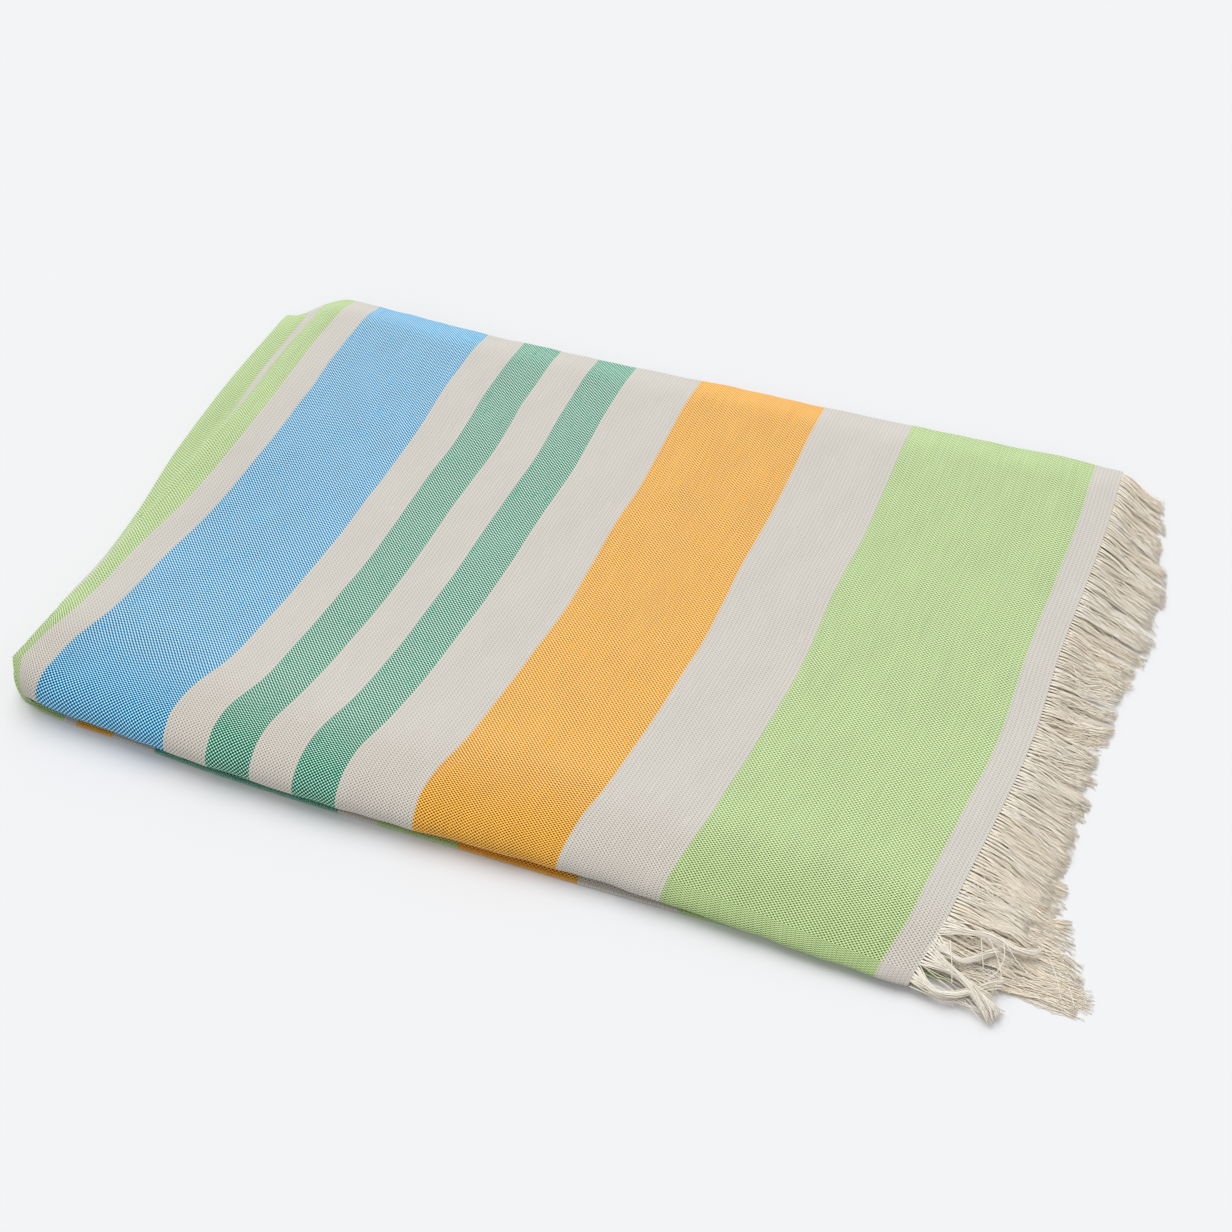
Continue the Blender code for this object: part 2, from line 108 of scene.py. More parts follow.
# the left fold from the front roll to the back (depth 1): the ridge, its drop to a low
# flap, and the rounded nose in which the sheet turns under, fitted to the photograph
LeftEnd = namedtuple(
    "LeftEnd", "depth ridge_x ridge_rise drop_width flap_height nose_x nose_reach"
)
LEFT_END = (
    LeftEnd(0.07, -0.0280, 0.0330, 0.0155, 0.0380, -0.0440, 0.0155),
    LeftEnd(0.20, -0.0250, 0.0285, 0.0215, 0.0285, -0.0535, 0.0200),
    LeftEnd(0.35, -0.0250, 0.0275, 0.0165, 0.0245, -0.0510, 0.0185),
    LeftEnd(0.45, -0.0240, 0.0275, 0.0180, 0.0205, -0.0545, 0.0095),
    LeftEnd(0.60, -0.0160, 0.0310, 0.0270, 0.0170, -0.0655, 0.0060),
    LeftEnd(0.80, 0.0005, 0.0235, 0.0310, 0.0285, -0.0645, 0.0230),
    LeftEnd(1.00, 0.0155, 0.0195, 0.0250, 0.0275, -0.0585, 0.0110),
)

# how the bands sway in plan on the upper half, by depth: at its left end, at the green
# bands and at its right end, fitted to the photograph
Sway = namedtuple("Sway", "y left middle right")
SWAY = (
    Sway(0.04, -0.0040, 0.0030, -0.0110),
    Sway(0.08, -0.0070, -0.0055, -0.0050),
    Sway(0.12, 0.0000, -0.0035, -0.0030),
    Sway(0.20, 0.0020, 0.0005, 0.0030),
    Sway(0.28, 0.0075, 0.0035, 0.0065),
    Sway(0.36, 0.0075, 0.0015, 0.0025),
    Sway(0.45, 0.0000, 0.0025, 0.0035),
    Sway(0.52, -0.0070, -0.0035, 0.0040),
    Sway(0.60, -0.0100, -0.0035, 0.0010),
)
SWAY_MIDDLE_X = 0.22
SWAY_START = -0.045           # no sway left of here, all of it this much further right
SWAY_WIDTH = 0.040

# the front roll rounds off the corner at the left, fitted to the photograph
CORNER_ROUND = 0.0195
CORNER_START = -0.0075
CORNER_WIDTH = 0.0405

# at the back the turned part lies further in, most of all at the nose
INNER_INSET = 0.0070
UNDER_INSET = 0.0040
NOSE_INSET = 0.0440
INSET_RUN = 0.60              # length of the floor run over which the inset fades
INNER_TURN = 0.0045           # the inner layer's turn reaches this much less far
INNER_TURN_LEAST = 0.0020

# the front edge in plan: the upper fold, its roll's depth, how far the roll swings the
# bands to the right, fitted but for its last three values, and the flat lower fold
FrontEdge = namedtuple("FrontEdge", "x upper_y roll_depth lean lower_y")
FRONT_EDGE = (
    FrontEdge(-0.060, 0.003, 0.024, -0.0025, 0.010),
    FrontEdge(0.000, -0.002, 0.027, -0.0005, 0.000),
    FrontEdge(0.080, -0.007, 0.028, 0.0055, -0.003),
    FrontEdge(0.170, -0.011, 0.028, 0.0055, -0.007),
    FrontEdge(0.300, -0.012, 0.026, 0.0030, -0.008),
    FrontEdge(0.440, -0.007, 0.022, 0.0025, -0.006),
    FrontEdge(0.560, -0.003, 0.018, -0.0025, -0.004),
    FrontEdge(0.680, -0.006, 0.014, 0.0035, 0.000),
    FrontEdge(0.790, -0.009, 0.011, -0.0015, 0.006),
    FrontEdge(0.860, -0.005, 0.009, -0.0020, 0.013),
    FrontEdge(0.900, -0.003, 0.009, -0.0020, 0.019),
)
LOWER_ROLL_DEPTH = 0.0016

# the stretch of the cloth that holds the left fold
BEND_START = 0.820
BEND_END = 1.000

# a section runs from past the upper end to past the lower one: its points on the top, the
# drop, the flap, the turn and the run on the floor
PAST_UPPER_END = 0.02
FLOOR_RUN = 1.06
SectionPoints = namedtuple("SectionPoints", "top drop flap turn run")
SECTION_POINTS = SectionPoints(420, 50, 24, 90, 12)

# soft waves left in the upper leaf by earlier folding
Wave = namedtuple("Wave", "height x_pitch y_pitch phase")
WAVES = (
    Wave(0.0008, 0.310, 0.900, 0.4),
    Wave(0.0006, 0.900, 0.170, 1.9),
    Wave(0.0005, 0.190, 0.260, 3.1),
)

# how far the upper fringe reaches out in plan, and its sideways drift for each metre
FringeReach = namedtuple("FringeReach", "y reach drift")
UPPER_REACH = (
    FringeReach(0.00, 0.064, -0.25), FringeReach(0.04, 0.070, -0.12),
    FringeReach(0.10, 0.072, -0.36), FringeReach(0.20, 0.064, -0.22),
    FringeReach(0.29, 0.064, 0.02), FringeReach(0.40, 0.074, -0.36),
    FringeReach(0.52, 0.064, -0.52), FringeReach(0.60, 0.046, -0.66),
)


# ---- small helpers ----

def smooth(share):
    """Ease from 0 to 1 with level ends."""
    share = np.clip(share, 0.0, 1.0)
    return share * share * (3.0 - 2.0 * share)


def curve_through(rows, key, value, at):
    """Read a table as a smooth curve: column `value` against column `key`."""
    knots = np.array([getattr(row, key) for row in rows])
    values = np.array([getattr(row, value) for row in rows])
    slopes = np.gradient(values, knots)
    at = np.clip(at, knots[0], knots[-1])
    left = np.clip(np.searchsorted(knots, at) - 1, 0, len(knots) - 2)
    span = knots[left + 1] - knots[left]
    t = (at - knots[left]) / span
    return (
        (2 * t**3 - 3 * t**2 + 1) * values[left]
        + (t**3 - 2 * t**2 + t) * span * slopes[left]
        + (3 * t**2 - 2 * t**3) * values[left + 1]
        + (t**3 - t**2) * span * slopes[left + 1]
    )


# ---- the folded sheet ----

def hem_line(y):
    """Where the upper half's woven end lies, for a depth y."""
    share = np.clip(y / FOLDED_DEPTH, 0.0, 1.0)
    return HEM_X + BAND_LEAN * y + BAND_BOW * np.sin(math.pi * share**0.8)


def left_end_at(y):
    """The left fold's table read at depth y."""
    depth = y / FOLDED_DEPTH
    return LeftEnd(*(float(curve_through(LEFT_END, "depth", name, depth))
                     for name in LeftEnd._fields))


def resting_height(x, y, left):
    """The upper leaf without its front roll."""
    back = BACK_RISE * smooth((y - VALLEY_Y) / (FOLDED_DEPTH - VALLEY_Y))
    height = TOP_OUTER + back + left.ridge_rise / np.cosh((x - left.ridge_x) / RIDGE_SPREAD)
    for wave in WAVES:
        phase = x / wave.x_pitch + y / wave.y_pitch
        height = height + wave.height * (1.0 + np.sin(2 * math.pi * phase + wave.phase))
    droop = BACK_DROOP * smooth((y - FOLDED_DEPTH + DROOP_WIDTH) / DROOP_WIDTH) ** 2
    near_hem = smooth((x - hem_line(y)) / HEM_DROOP_WIDTH + 1.0)
    hem_droop = HEM_DROOP * smooth((y - VALLEY_Y) / VALLEY_Y) * near_hem
    return height - (1 - (1 - droop) * (1 - hem_droop)) * (height - TOP_OUTER)


def upper_height(x, y, left):
    """The upper leaf with the crest of its front roll."""
    low = resting_height(x, y, left)
    share = np.clip(x / HEM_X, 0.0, 1.1)
    crest = CREST_LEFT - CREST_FALL * share - CREST_CURVE * share**2
    crest = np.maximum(crest, low + CREST_GAP)
    nearness = np.exp(-((np.maximum(y, CREST_Y) - CREST_Y) / CREST_SPREAD) ** 2)
    return low + (crest - low) * nearness


Section = namedtuple("Section", "along outer inner turned marks")


@functools.lru_cache(maxsize=None)
def section_at(y):
    """The sheet's section at depth y, both leaves, from past the upper end round the fold.

    "turned" says how far the sheet has turned under, 0 to 1. "marks" are the distances
    at which the ridge, the drop's end, the turn and the run on the floor begin.
    """
    left = left_end_at(y)
    start_x = float(hem_line(y))
    turn_x = left.nose_x + left.nose_reach
    ridge_z = float(upper_height(left.ridge_x, y, left))
    flap = min(left.flap_height, ridge_z)

    top_x = np.linspace(start_x + PAST_UPPER_END, left.ridge_x, SECTION_POINTS.top)
    top_z = upper_height(top_x, y, left)
    drop_t = np.linspace(0.0, 1.0, SECTION_POINTS.drop)[1:]
    drop_x = left.ridge_x - left.drop_width * drop_t
    drop_z = ridge_z + (flap - ridge_z) * smooth(drop_t)
    drop_end = left.ridge_x - left.drop_width
    flap_x = np.linspace(drop_end, turn_x, SECTION_POINTS.flap)[1:]
    flap_z = np.full(flap_x.shape, flap)
    turn = np.linspace(0.0, math.pi, SECTION_POINTS.turn)[1:]
    nose_z = (flap + BOTTOM_OUTER) / 2
    run_x = np.linspace(turn_x, turn_x + FLOOR_RUN, SECTION_POINTS.run)[1:]

    nose_x = turn_x - left.nose_reach * np.sin(turn)
    x = np.concatenate([top_x, drop_x, flap_x, nose_x, run_x])
    z = np.concatenate([
        top_z, drop_z, flap_z,
        nose_z + (flap - nose_z) * np.cos(turn),
        np.full(run_x.shape, BOTTOM_OUTER),
    ])

    lift = UNDER_SHARE * float(smooth((y - UNDER_START) / UNDER_RUN))
    before = len(top_x) + len(drop_x) + len(flap_x)
    rest_z = np.concatenate([resting_height(top_x, y, left), z[len(top_x):before]])
    rest_z = np.minimum(rest_z, z[:before])
    inner_top = TOP_INNER + lift * np.maximum(rest_z - TOP_OUTER, 0.0)
    inner_mid = (inner_top[-1] + BOTTOM_INNER) / 2
    inner_reach = max(left.nose_reach - INNER_TURN, INNER_TURN_LEAST)
    inner_x = np.concatenate([x[:before], turn_x - inner_reach * np.sin(turn), run_x])
    inner_z = np.concatenate([
        inner_top,
        inner_mid + (inner_top[-1] - inner_mid) * np.cos(turn),
        np.full(run_x.shape, BOTTOM_INNER),
    ])

    turned = np.concatenate([np.zeros(before), turn / math.pi, np.ones(run_x.shape)])
    steps = np.hypot(np.diff(x), np.diff(z))
    along = np.concatenate([[0.0], np.cumsum(steps)])
    along = along - np.interp(0.0, start_x - x[:len(top_x)], along[:len(top_x)])
    ends = np.cumsum([len(top_x), len(drop_x), len(flap_x), len(turn)]) - 1
    return Section(along, (x, z), (inner_x, inner_z), turned, along[ends])


def sway_at(x, y):
    """Sideways sway of the upper half's bands in plan."""
    sways = [float(curve_through(SWAY, "y", name, y)) for name in Sway._fields[1:]]
    fade = smooth((x - SWAY_START) / SWAY_WIDTH)
    return fade * np.interp(x, (0.0, SWAY_MIDDLE_X, HEM_X), sways)


def depth_of(leaf, place):
    """The depth whose section a line across the folded sheet takes."""
    return CREST_Y if leaf == "roll" else CREST_Y + (FOLDED_DEPTH - CREST_Y) * place


def sheet_line(along, leaf, place):
    """Points of one line along the cloth, at the distances `along` from the upper end.

    leaf "upper" or "under" takes place 0 (roll) to 1 (back selvedge); leaf "roll" takes
    the angle round the front, a quarter turn up to a quarter turn down.
    """
    section = section_at(depth_of(leaf, place))
    outer, inner = (
        np.stack([np.interp(along, section.along, part) for part in layer])
        for layer in (section.outer, section.inner)
    )
    under = smooth(np.interp(along, section.along, section.turned))
    sway = sway_at(outer[0], depth_of(leaf, place)) * (1 - under)
    outer[0] += sway
    inner[0] += sway

    edge = FrontEdge(*(
        curve_through(FRONT_EDGE, "x", name, outer[0]) for name in FrontEdge._fields
    ))
    front = edge.upper_y * (1 - under) + edge.lower_y * under
    depth = edge.roll_depth * (1 - under) + LOWER_ROLL_DEPTH * under

    if leaf == "roll":
        plan = (outer + inner) / 2 + (outer - inner) / 2 * math.sin(place)
        corner = smooth((CORNER_START - plan[0]) / CORNER_WIDTH)
        swing = CORNER_ROUND * corner + edge.lean * (1 - corner) * (1 - under)
        plan[0] = plan[0] + math.cos(place) * swing
        y = front + depth * (1 - math.cos(place))
    else:
        plan = outer if leaf == "upper" else inner
        ridge, _, turn, run = section.marks
        nose = smooth((along - ridge) / (turn - ridge)) * (1 - smooth((along - run) / INSET_RUN))
        inset = (0.0 if leaf == "upper" else INNER_INSET) + UNDER_INSET * under
        back = FOLDED_DEPTH - inset - (NOSE_INSET - inset) * nose
        y = depth + (back - depth) * place + front * (1 - place) ** 3
    return np.stack([plan[0] - ORIGIN_X, y - ORIGIN_Y, plan[1]], axis=1)


def cloth_lines(upper_places, roll_angles, under_places):
    """The section's lines in order: back selvedge, upper leaf, roll, under leaf."""
    lines = [("upper", place) for place in sorted(upper_places, reverse=True)]
    lines += [("roll", angle) for angle in roll_angles]
    lines += [("under", place) for place in sorted(under_places)]
    return lines


def band_edges():
    """Distances of the bands' edges from the upper end."""
    return np.concatenate([[0.0], np.cumsum([band.width for band in BANDS])])


# ---- the fine sheet ----

SHEET_PLACES = np.concatenate([
    np.linspace(0.0, 0.1, 8), np.linspace(0.12, 0.90, 40), np.linspace(0.905, 1.0, 12),
])
SHEET_ANGLES = np.radians(np.linspace(86.0, -86.0, 23))
SHEET_ROWS = (130, 12, 16, 16, 26, 12, 90)   # rows in each stretch between the fold's marks
UV_ROW = 0.45                                # distances across the cloth are taken here
UPPER_PROBE = (40, 20)        # a row and line on the upper leaf, whose normal points up

# small wrinkles, on the cloth itself: "along" from the upper end, "out" from the front
# fold's middle, with their direction from the weft, their size and their height
Wrinkle = namedtuple("Wrinkle", "along out turn length width height")
WRINKLES = (
    Wrinkle(0.432, 0.048, 8.0, 0.030, 0.0040, 0.0010),
    Wrinkle(0.447, 0.032, -6.0, 0.020, 0.0035, -0.0008),
    Wrinkle(0.500, 0.030, 12.0, 0.026, 0.0050, 0.0007),
    Wrinkle(0.395, 0.026, -14.0, 0.020, 0.0045, 0.0006),
    Wrinkle(0.330, 0.036, 10.0, 0.030, 0.0060, -0.0007),
    Wrinkle(0.242, 0.030, -8.0, 0.024, 0.0050, 0.0006),
    Wrinkle(0.160, 0.034, 14.0, 0.028, 0.0060, 0.0007),
    Wrinkle(0.072, 0.028, -10.0, 0.022, 0.0050, -0.0006),
    Wrinkle(0.585, 0.034, 6.0, 0.030, 0.0050, -0.0007),
    Wrinkle(0.655, 0.040, -12.0, 0.026, 0.0060, 0.0008),
    Wrinkle(0.745, 0.046, 16.0, 0.028, 0.0055, 0.0009),
)
# a low, wide unevenness of the lying cloth
Ripple = namedtuple("Ripple", "height along_pitch across_pitch phase")
RIPPLES = (
    Ripple(0.00030, 0.071, 0.190, 0.3),
    Ripple(0.00026, 0.113, -0.083, 1.7),
    Ripple(0.00016, 0.041, 0.059, 4.1),
    Ripple(0.00014, -0.034, 0.071, 2.6),
)


def sheet_grid():
    """All points of the fine sheet (rows x lines), with their distances on the cloth."""
    lines = cloth_lines(SHEET_PLACES, SHEET_ANGLES, SHEET_PLACES)
    points = []
    along = []
    for line in lines:
        marks = section_at(depth_of(*line)).marks
        stops = [0.0, BEND_START, *marks, BEND_END, CLOTH_LENGTH]
        parts = [
            np.linspace(here, there, count, endpoint=False)
            for here, there, count in zip(stops, stops[1:], SHEET_ROWS)
        ]
        distances = np.concatenate(parts + [[CLOTH_LENGTH]])
        along.append(distances)
        points.append(sheet_line(distances, *line))
    points = np.stack(points, axis=1)
    along = np.stack(along, axis=1)

    row = int(np.argmin(np.abs(along[:, 0] - UV_ROW)))
    steps = np.linalg.norm(np.diff(points[row], axis=0), axis=1)
    across = np.concatenate([[0.0], np.cumsum(steps)])
    front = across[np.argmin(points[row][:, 1])]
    across = np.broadcast_to(across, along.shape)
    return points, along, across, front


def unevenness(along, out):
    """How far the cloth stands off its smooth form, at distances on the cloth."""
    lift = np.zeros(along.shape)
    for ripple in RIPPLES:
        phase = along / ripple.along_pitch + out / ripple.across_pitch
        lift += ripple.height * np.sin(2 * math.pi * phase + ripple.phase)
    for wrinkle in WRINKLES:
        turn = math.radians(wrinkle.turn)
        side = (along - wrinkle.along) * math.cos(turn) + (out - wrinkle.out) * math.sin(turn)
        run = (out - wrinkle.out) * math.cos(turn) - (along - wrinkle.along) * math.sin(turn)
        lift += wrinkle.height * np.exp(-(side / wrinkle.width) ** 2 - (run / wrinkle.length) ** 2)
    return lift


def grid_normals(points):
    """Outward unit normals of a grid of points."""
    by_row = np.gradient(points, axis=0)
    by_line = np.gradient(points, axis=1)
    normals = np.cross(by_line, by_row)
    normals /= np.linalg.norm(normals, axis=2)[:, :, None] + 1e-12
    middle = normals[UPPER_PROBE]
    return normals if middle[2] > 0 else -normals


def face_outward():
    """Turn the active mesh's faces outward."""
    bpy.ops.object.mode_set(mode="EDIT")
    bpy.ops.mesh.select_all(action="SELECT")
    bpy.ops.mesh.normals_make_consistent(inside=False)
    bpy.ops.object.mode_set(mode="OBJECT")


EDGE_CALM = 0.012             # unevenness fades out this close to the woven ends
FOLD_CALM = 0.1               # and over this much of the cloth beside the left fold
THIN_END = 0.010              # the sheet thins towards its woven ends over this length
THIN_SHARE = 0.35
RIM_ANGLE = math.radians(60.0)  # the sheet's rim stays crisp, its folds stay soft


def build_cloth(settings):
    """The woven sheet as one thin closed shell with its distances as a UV map.

    Gives the cloth, its width along the weft and the distance to its front fold.
    """
    points, along, across, front = sheet_grid()
    rows, lines = along.shape
    calm = smooth(along / EDGE_CALM) * smooth((CLOTH_LENGTH - along) / EDGE_CALM)
    on_top = smooth((BEND_START + FOLD_CALM - along) / FOLD_CALM)
    lift = unevenness(along, front - across) * calm * on_top
    points = points + grid_normals(points) * lift[:, :, None]

    bpy.ops.object.select_all(action="DESELECT")
    bpy.ops.mesh.primitive_grid_add(
        x_subdivisions=lines - 1, y_subdivisions=rows - 1, size=1.0, calc_uvs=True
    )
    cloth = bpy.context.active_object
    cloth.name = "woven_cloth"
    mesh = cloth.data
    mesh.name = "woven_cloth"
    flat = np.zeros(len(mesh.vertices) * 3)
    mesh.vertices.foreach_get("co", flat)
    flat = flat.reshape(-1, 3)
    line_of = np.rint((flat[:, 0] + 0.5) * (lines - 1)).astype(int)
    row_of = np.rint((flat[:, 1] + 0.5) * (rows - 1)).astype(int)
    mesh.vertices.foreach_set("co", points[row_of, line_of].ravel())

    corners = np.zeros(len(mesh.loops), int)
    mesh.loops.foreach_get("vertex_index", corners)
    distances = np.stack([across[row_of, line_of], along[row_of, line_of]], axis=1)
    mesh.uv_layers.active.name = "cloth_distances"
    mesh.uv_layers.active.data.foreach_set("uv", distances[corners].ravel())
    mesh.update()

    end_share = smooth(np.minimum(along, CLOTH_LENGTH - along) / THIN_END)[row_of, line_of]
    full = cloth.vertex_groups.new(name="full thickness")
    for vertex, share in enumerate(end_share):
        full.add([vertex], float(share), "REPLACE")
    thickness = cloth.modifiers.new("Thickness", "SOLIDIFY")
    thickness.vertex_group = full.name
    thickness.thickness_vertex_group = THIN_SHARE
    thickness.thickness = settings.cloth_thickness
    thickness.offset = 0.0
    bpy.ops.object.modifier_apply(modifier="Thickness")
    face_outward()
    bpy.ops.object.shade_smooth_by_angle(angle=RIM_ANGLE)
    return cloth, float(across.max()), float(front)


# ---- fringe yarns ----

RAIL_PLACES = np.linspace(0.0, 1.0, 60)
RAIL_ANGLES = np.radians(np.linspace(80.0, -80.0, 9))
ROOT_INSIDE = 0.0015          # a yarn starts this far inside the woven end
GROUP_PITCH = 0.0033          # yarns leave the weave in small groups
GROUP_SPREAD = 0.0015
YARN_RINGS = 10
LOCK_RINGS = 18
TIP_SHARE = 0.7
TUBE_CORNERS = (30.0, 150.0, 270.0)   # a yarn has three sides, one of them on top
YARN_FLAT = 0.85              # height of a yarn as a share of its width

# the yarns of each leaf of each end: how many in a group, and how high their pile lies
Pile = namedtuple("Pile", "end leaf count low high")
PILES = (
    Pile("upper", "upper", 10, 0.0034, 0.0074),
    Pile("upper", "under", 5, 0.0012, 0.0040),
    Pile("lower", "upper", 6, 0.0004, 0.0016),
    Pile("lower", "under", 8, 0.0010, 0.0036),
)
OVER_LOWER = 0.0052           # a yarn that crosses the lower half lies at least this high
CLUMP_LOW = 0.008             # clumps of yarn are between these widths
CLUMP_HIGH = 0.022
CLUMP_BLUR = 0.0012           # yarns join a neighbouring clump when this near its edge
CLUMP_LEAD = 0.001            # the first clump starts this far before the first yarn
GROUP_UNEVEN = 0.00025
# how far yarns lean, for each metre of their length: as clumps, as groups and one by one
CLUMP_LEAN = 0.09
GROUP_LEAN = 0.05
YARN_LEAN = 0.035
ROOT_LEAN = 0.65              # share of the lean that a yarn has at its root
CLUMP_LENGTHS = (0.84, 1.04)  # shares of the fringe's reach
LENGTH_LOSS = 0.14            # a yarn is up to this much shorter than its clump
LOSS_POWER = 1.6              # most yarns lose little
CLUMP_WAVE = 0.0034           # sideways waves of a clump, and their pitch
CLUMP_PITCHES = (0.035, 0.075)
CURL = 0.0008                 # sideways waves of one yarn, and their pitch
CURL_PITCHES = (0.016, 0.036)
CURL_RISE = 2.5               # the curl is full after one part in this many of the length
PULLS = (0.10, 0.70)          # how far a yarn is drawn to its clump's middle
PULL_END = 0.85               # share of its length at which it is drawn in
CLUMP_LEVEL = 0.45            # share of a yarn's height in the pile that its clump sets
SETTLES = (0.018, 0.042)      # distance in which a yarn comes down to its level
TIP_SINK = 0.55               # how much of its level a yarn has lost at its tip
ROLLING = 0.0009              # ups and downs of a yarn, and their pitch to its curl's
ROLLING_PITCH = 1.7
PILE_OVER = 0.35              # share of a yarn's level that it keeps over the lower half
OVER_RUN = 0.035              # it comes down over this length beyond it
GROUP_TONE = 0.4              # share of a yarn's tone that its group sets

# yarns that stray: their share at the front, and how much smaller it is at the back
STRAY_SHARE = 0.05
STRAY_FADE = 0.7
STRAY_LENGTHS = (0.55, 1.0)
STRAY_LEAN = 0.30
STRAY_CURL = 0.0040
STRAY_LEVELS = (0.8, 1.15)
# painted shade: a corner lock is drawn as if this deep in the pile
LOCK_PILE_SHADE = 0.15            # how deep in the pile a corner lock is shaded, 0 to 1

# the lower fringe, seen beyond the upper one
LOWER_REACH = (
    FringeReach(0.00, 0.072, 0.10), FringeReach(0.03, 0.076, -0.02),
    FringeReach(0.07, 0.070, -0.16), FringeReach(0.11, 0.060, -0.34),
    FringeReach(0.20, 0.052, -0.22), FringeReach(0.29, 0.050, 0.02),
    FringeReach(0.40, 0.058, -0.36), FringeReach(0.52, 0.060, -0.52),
    FringeReach(0.60, 0.050, -0.66),
)
REACH = {"upper": UPPER_REACH, "lower": LOWER_REACH}


def end_rail(end):
    """Points just inside a woven end, round the folded section, with the leaf of each."""
    distance = ROOT_INSIDE if end == "upper" else CLOTH_LENGTH - ROOT_INSIDE
    lines = cloth_lines(RAIL_PLACES, RAIL_ANGLES, RAIL_PLACES)
    points = np.concatenate([sheet_line(np.array([distance]), *line) for line in lines])
    leaves = [("upper" if place > 0 else "under") if leaf == "roll" else leaf
              for leaf, place in lines]
    return points, np.array(leaves)


def yarn_roots(end, leaf, count, random):
    """Root points of a leaf's yarns, group by group, and their distance along the end."""
    points, leaves = end_rail(end)
    points = points[leaves == leaf]
    steps = np.linalg.norm(np.diff(points, axis=0), axis=1)
    run = np.concatenate([[0.0], np.cumsum(steps)])
    groups = np.arange(0.5 * GROUP_PITCH, run[-1] - 0.3 * GROUP_PITCH, GROUP_PITCH)
    groups = groups + random.normal(0.0, GROUP_UNEVEN, groups.shape)
    spread = (np.arange(count) / max(count - 1, 1) - 0.5) * GROUP_SPREAD
    places = (groups[:, None] + spread[None, :]).ravel()
    places = np.clip(places, 0.0, run[-1])
    roots = np.stack([np.interp(places, run, points[:, k]) for k in range(3)], axis=1)
    return roots, places


def lower_end_at(y):
    """Where the lower half's woven end lies, for a depth y."""
    section = section_at(min(max(y, 0.0), FOLDED_DEPTH))
    return float(np.interp(CLOTH_LENGTH, section.along, section.outer[0]))


def clumps_along(places, random):
    """Clumps of neighbouring yarns: the number of each yarn's clump, and their middles."""
    edges = [places.min() - CLUMP_LEAD]
    while edges[-1] < places.max():
        edges.append(edges[-1] + random.uniform(CLUMP_LOW, CLUMP_HIGH))
    edges = np.array(edges)
    blurred = places + random.normal(0.0, CLUMP_BLUR, places.shape)
    number = np.clip(np.searchsorted(edges, blurred) - 1, 0, len(edges) - 2)
    return number, (edges[:-1] + edges[1:]) / 2


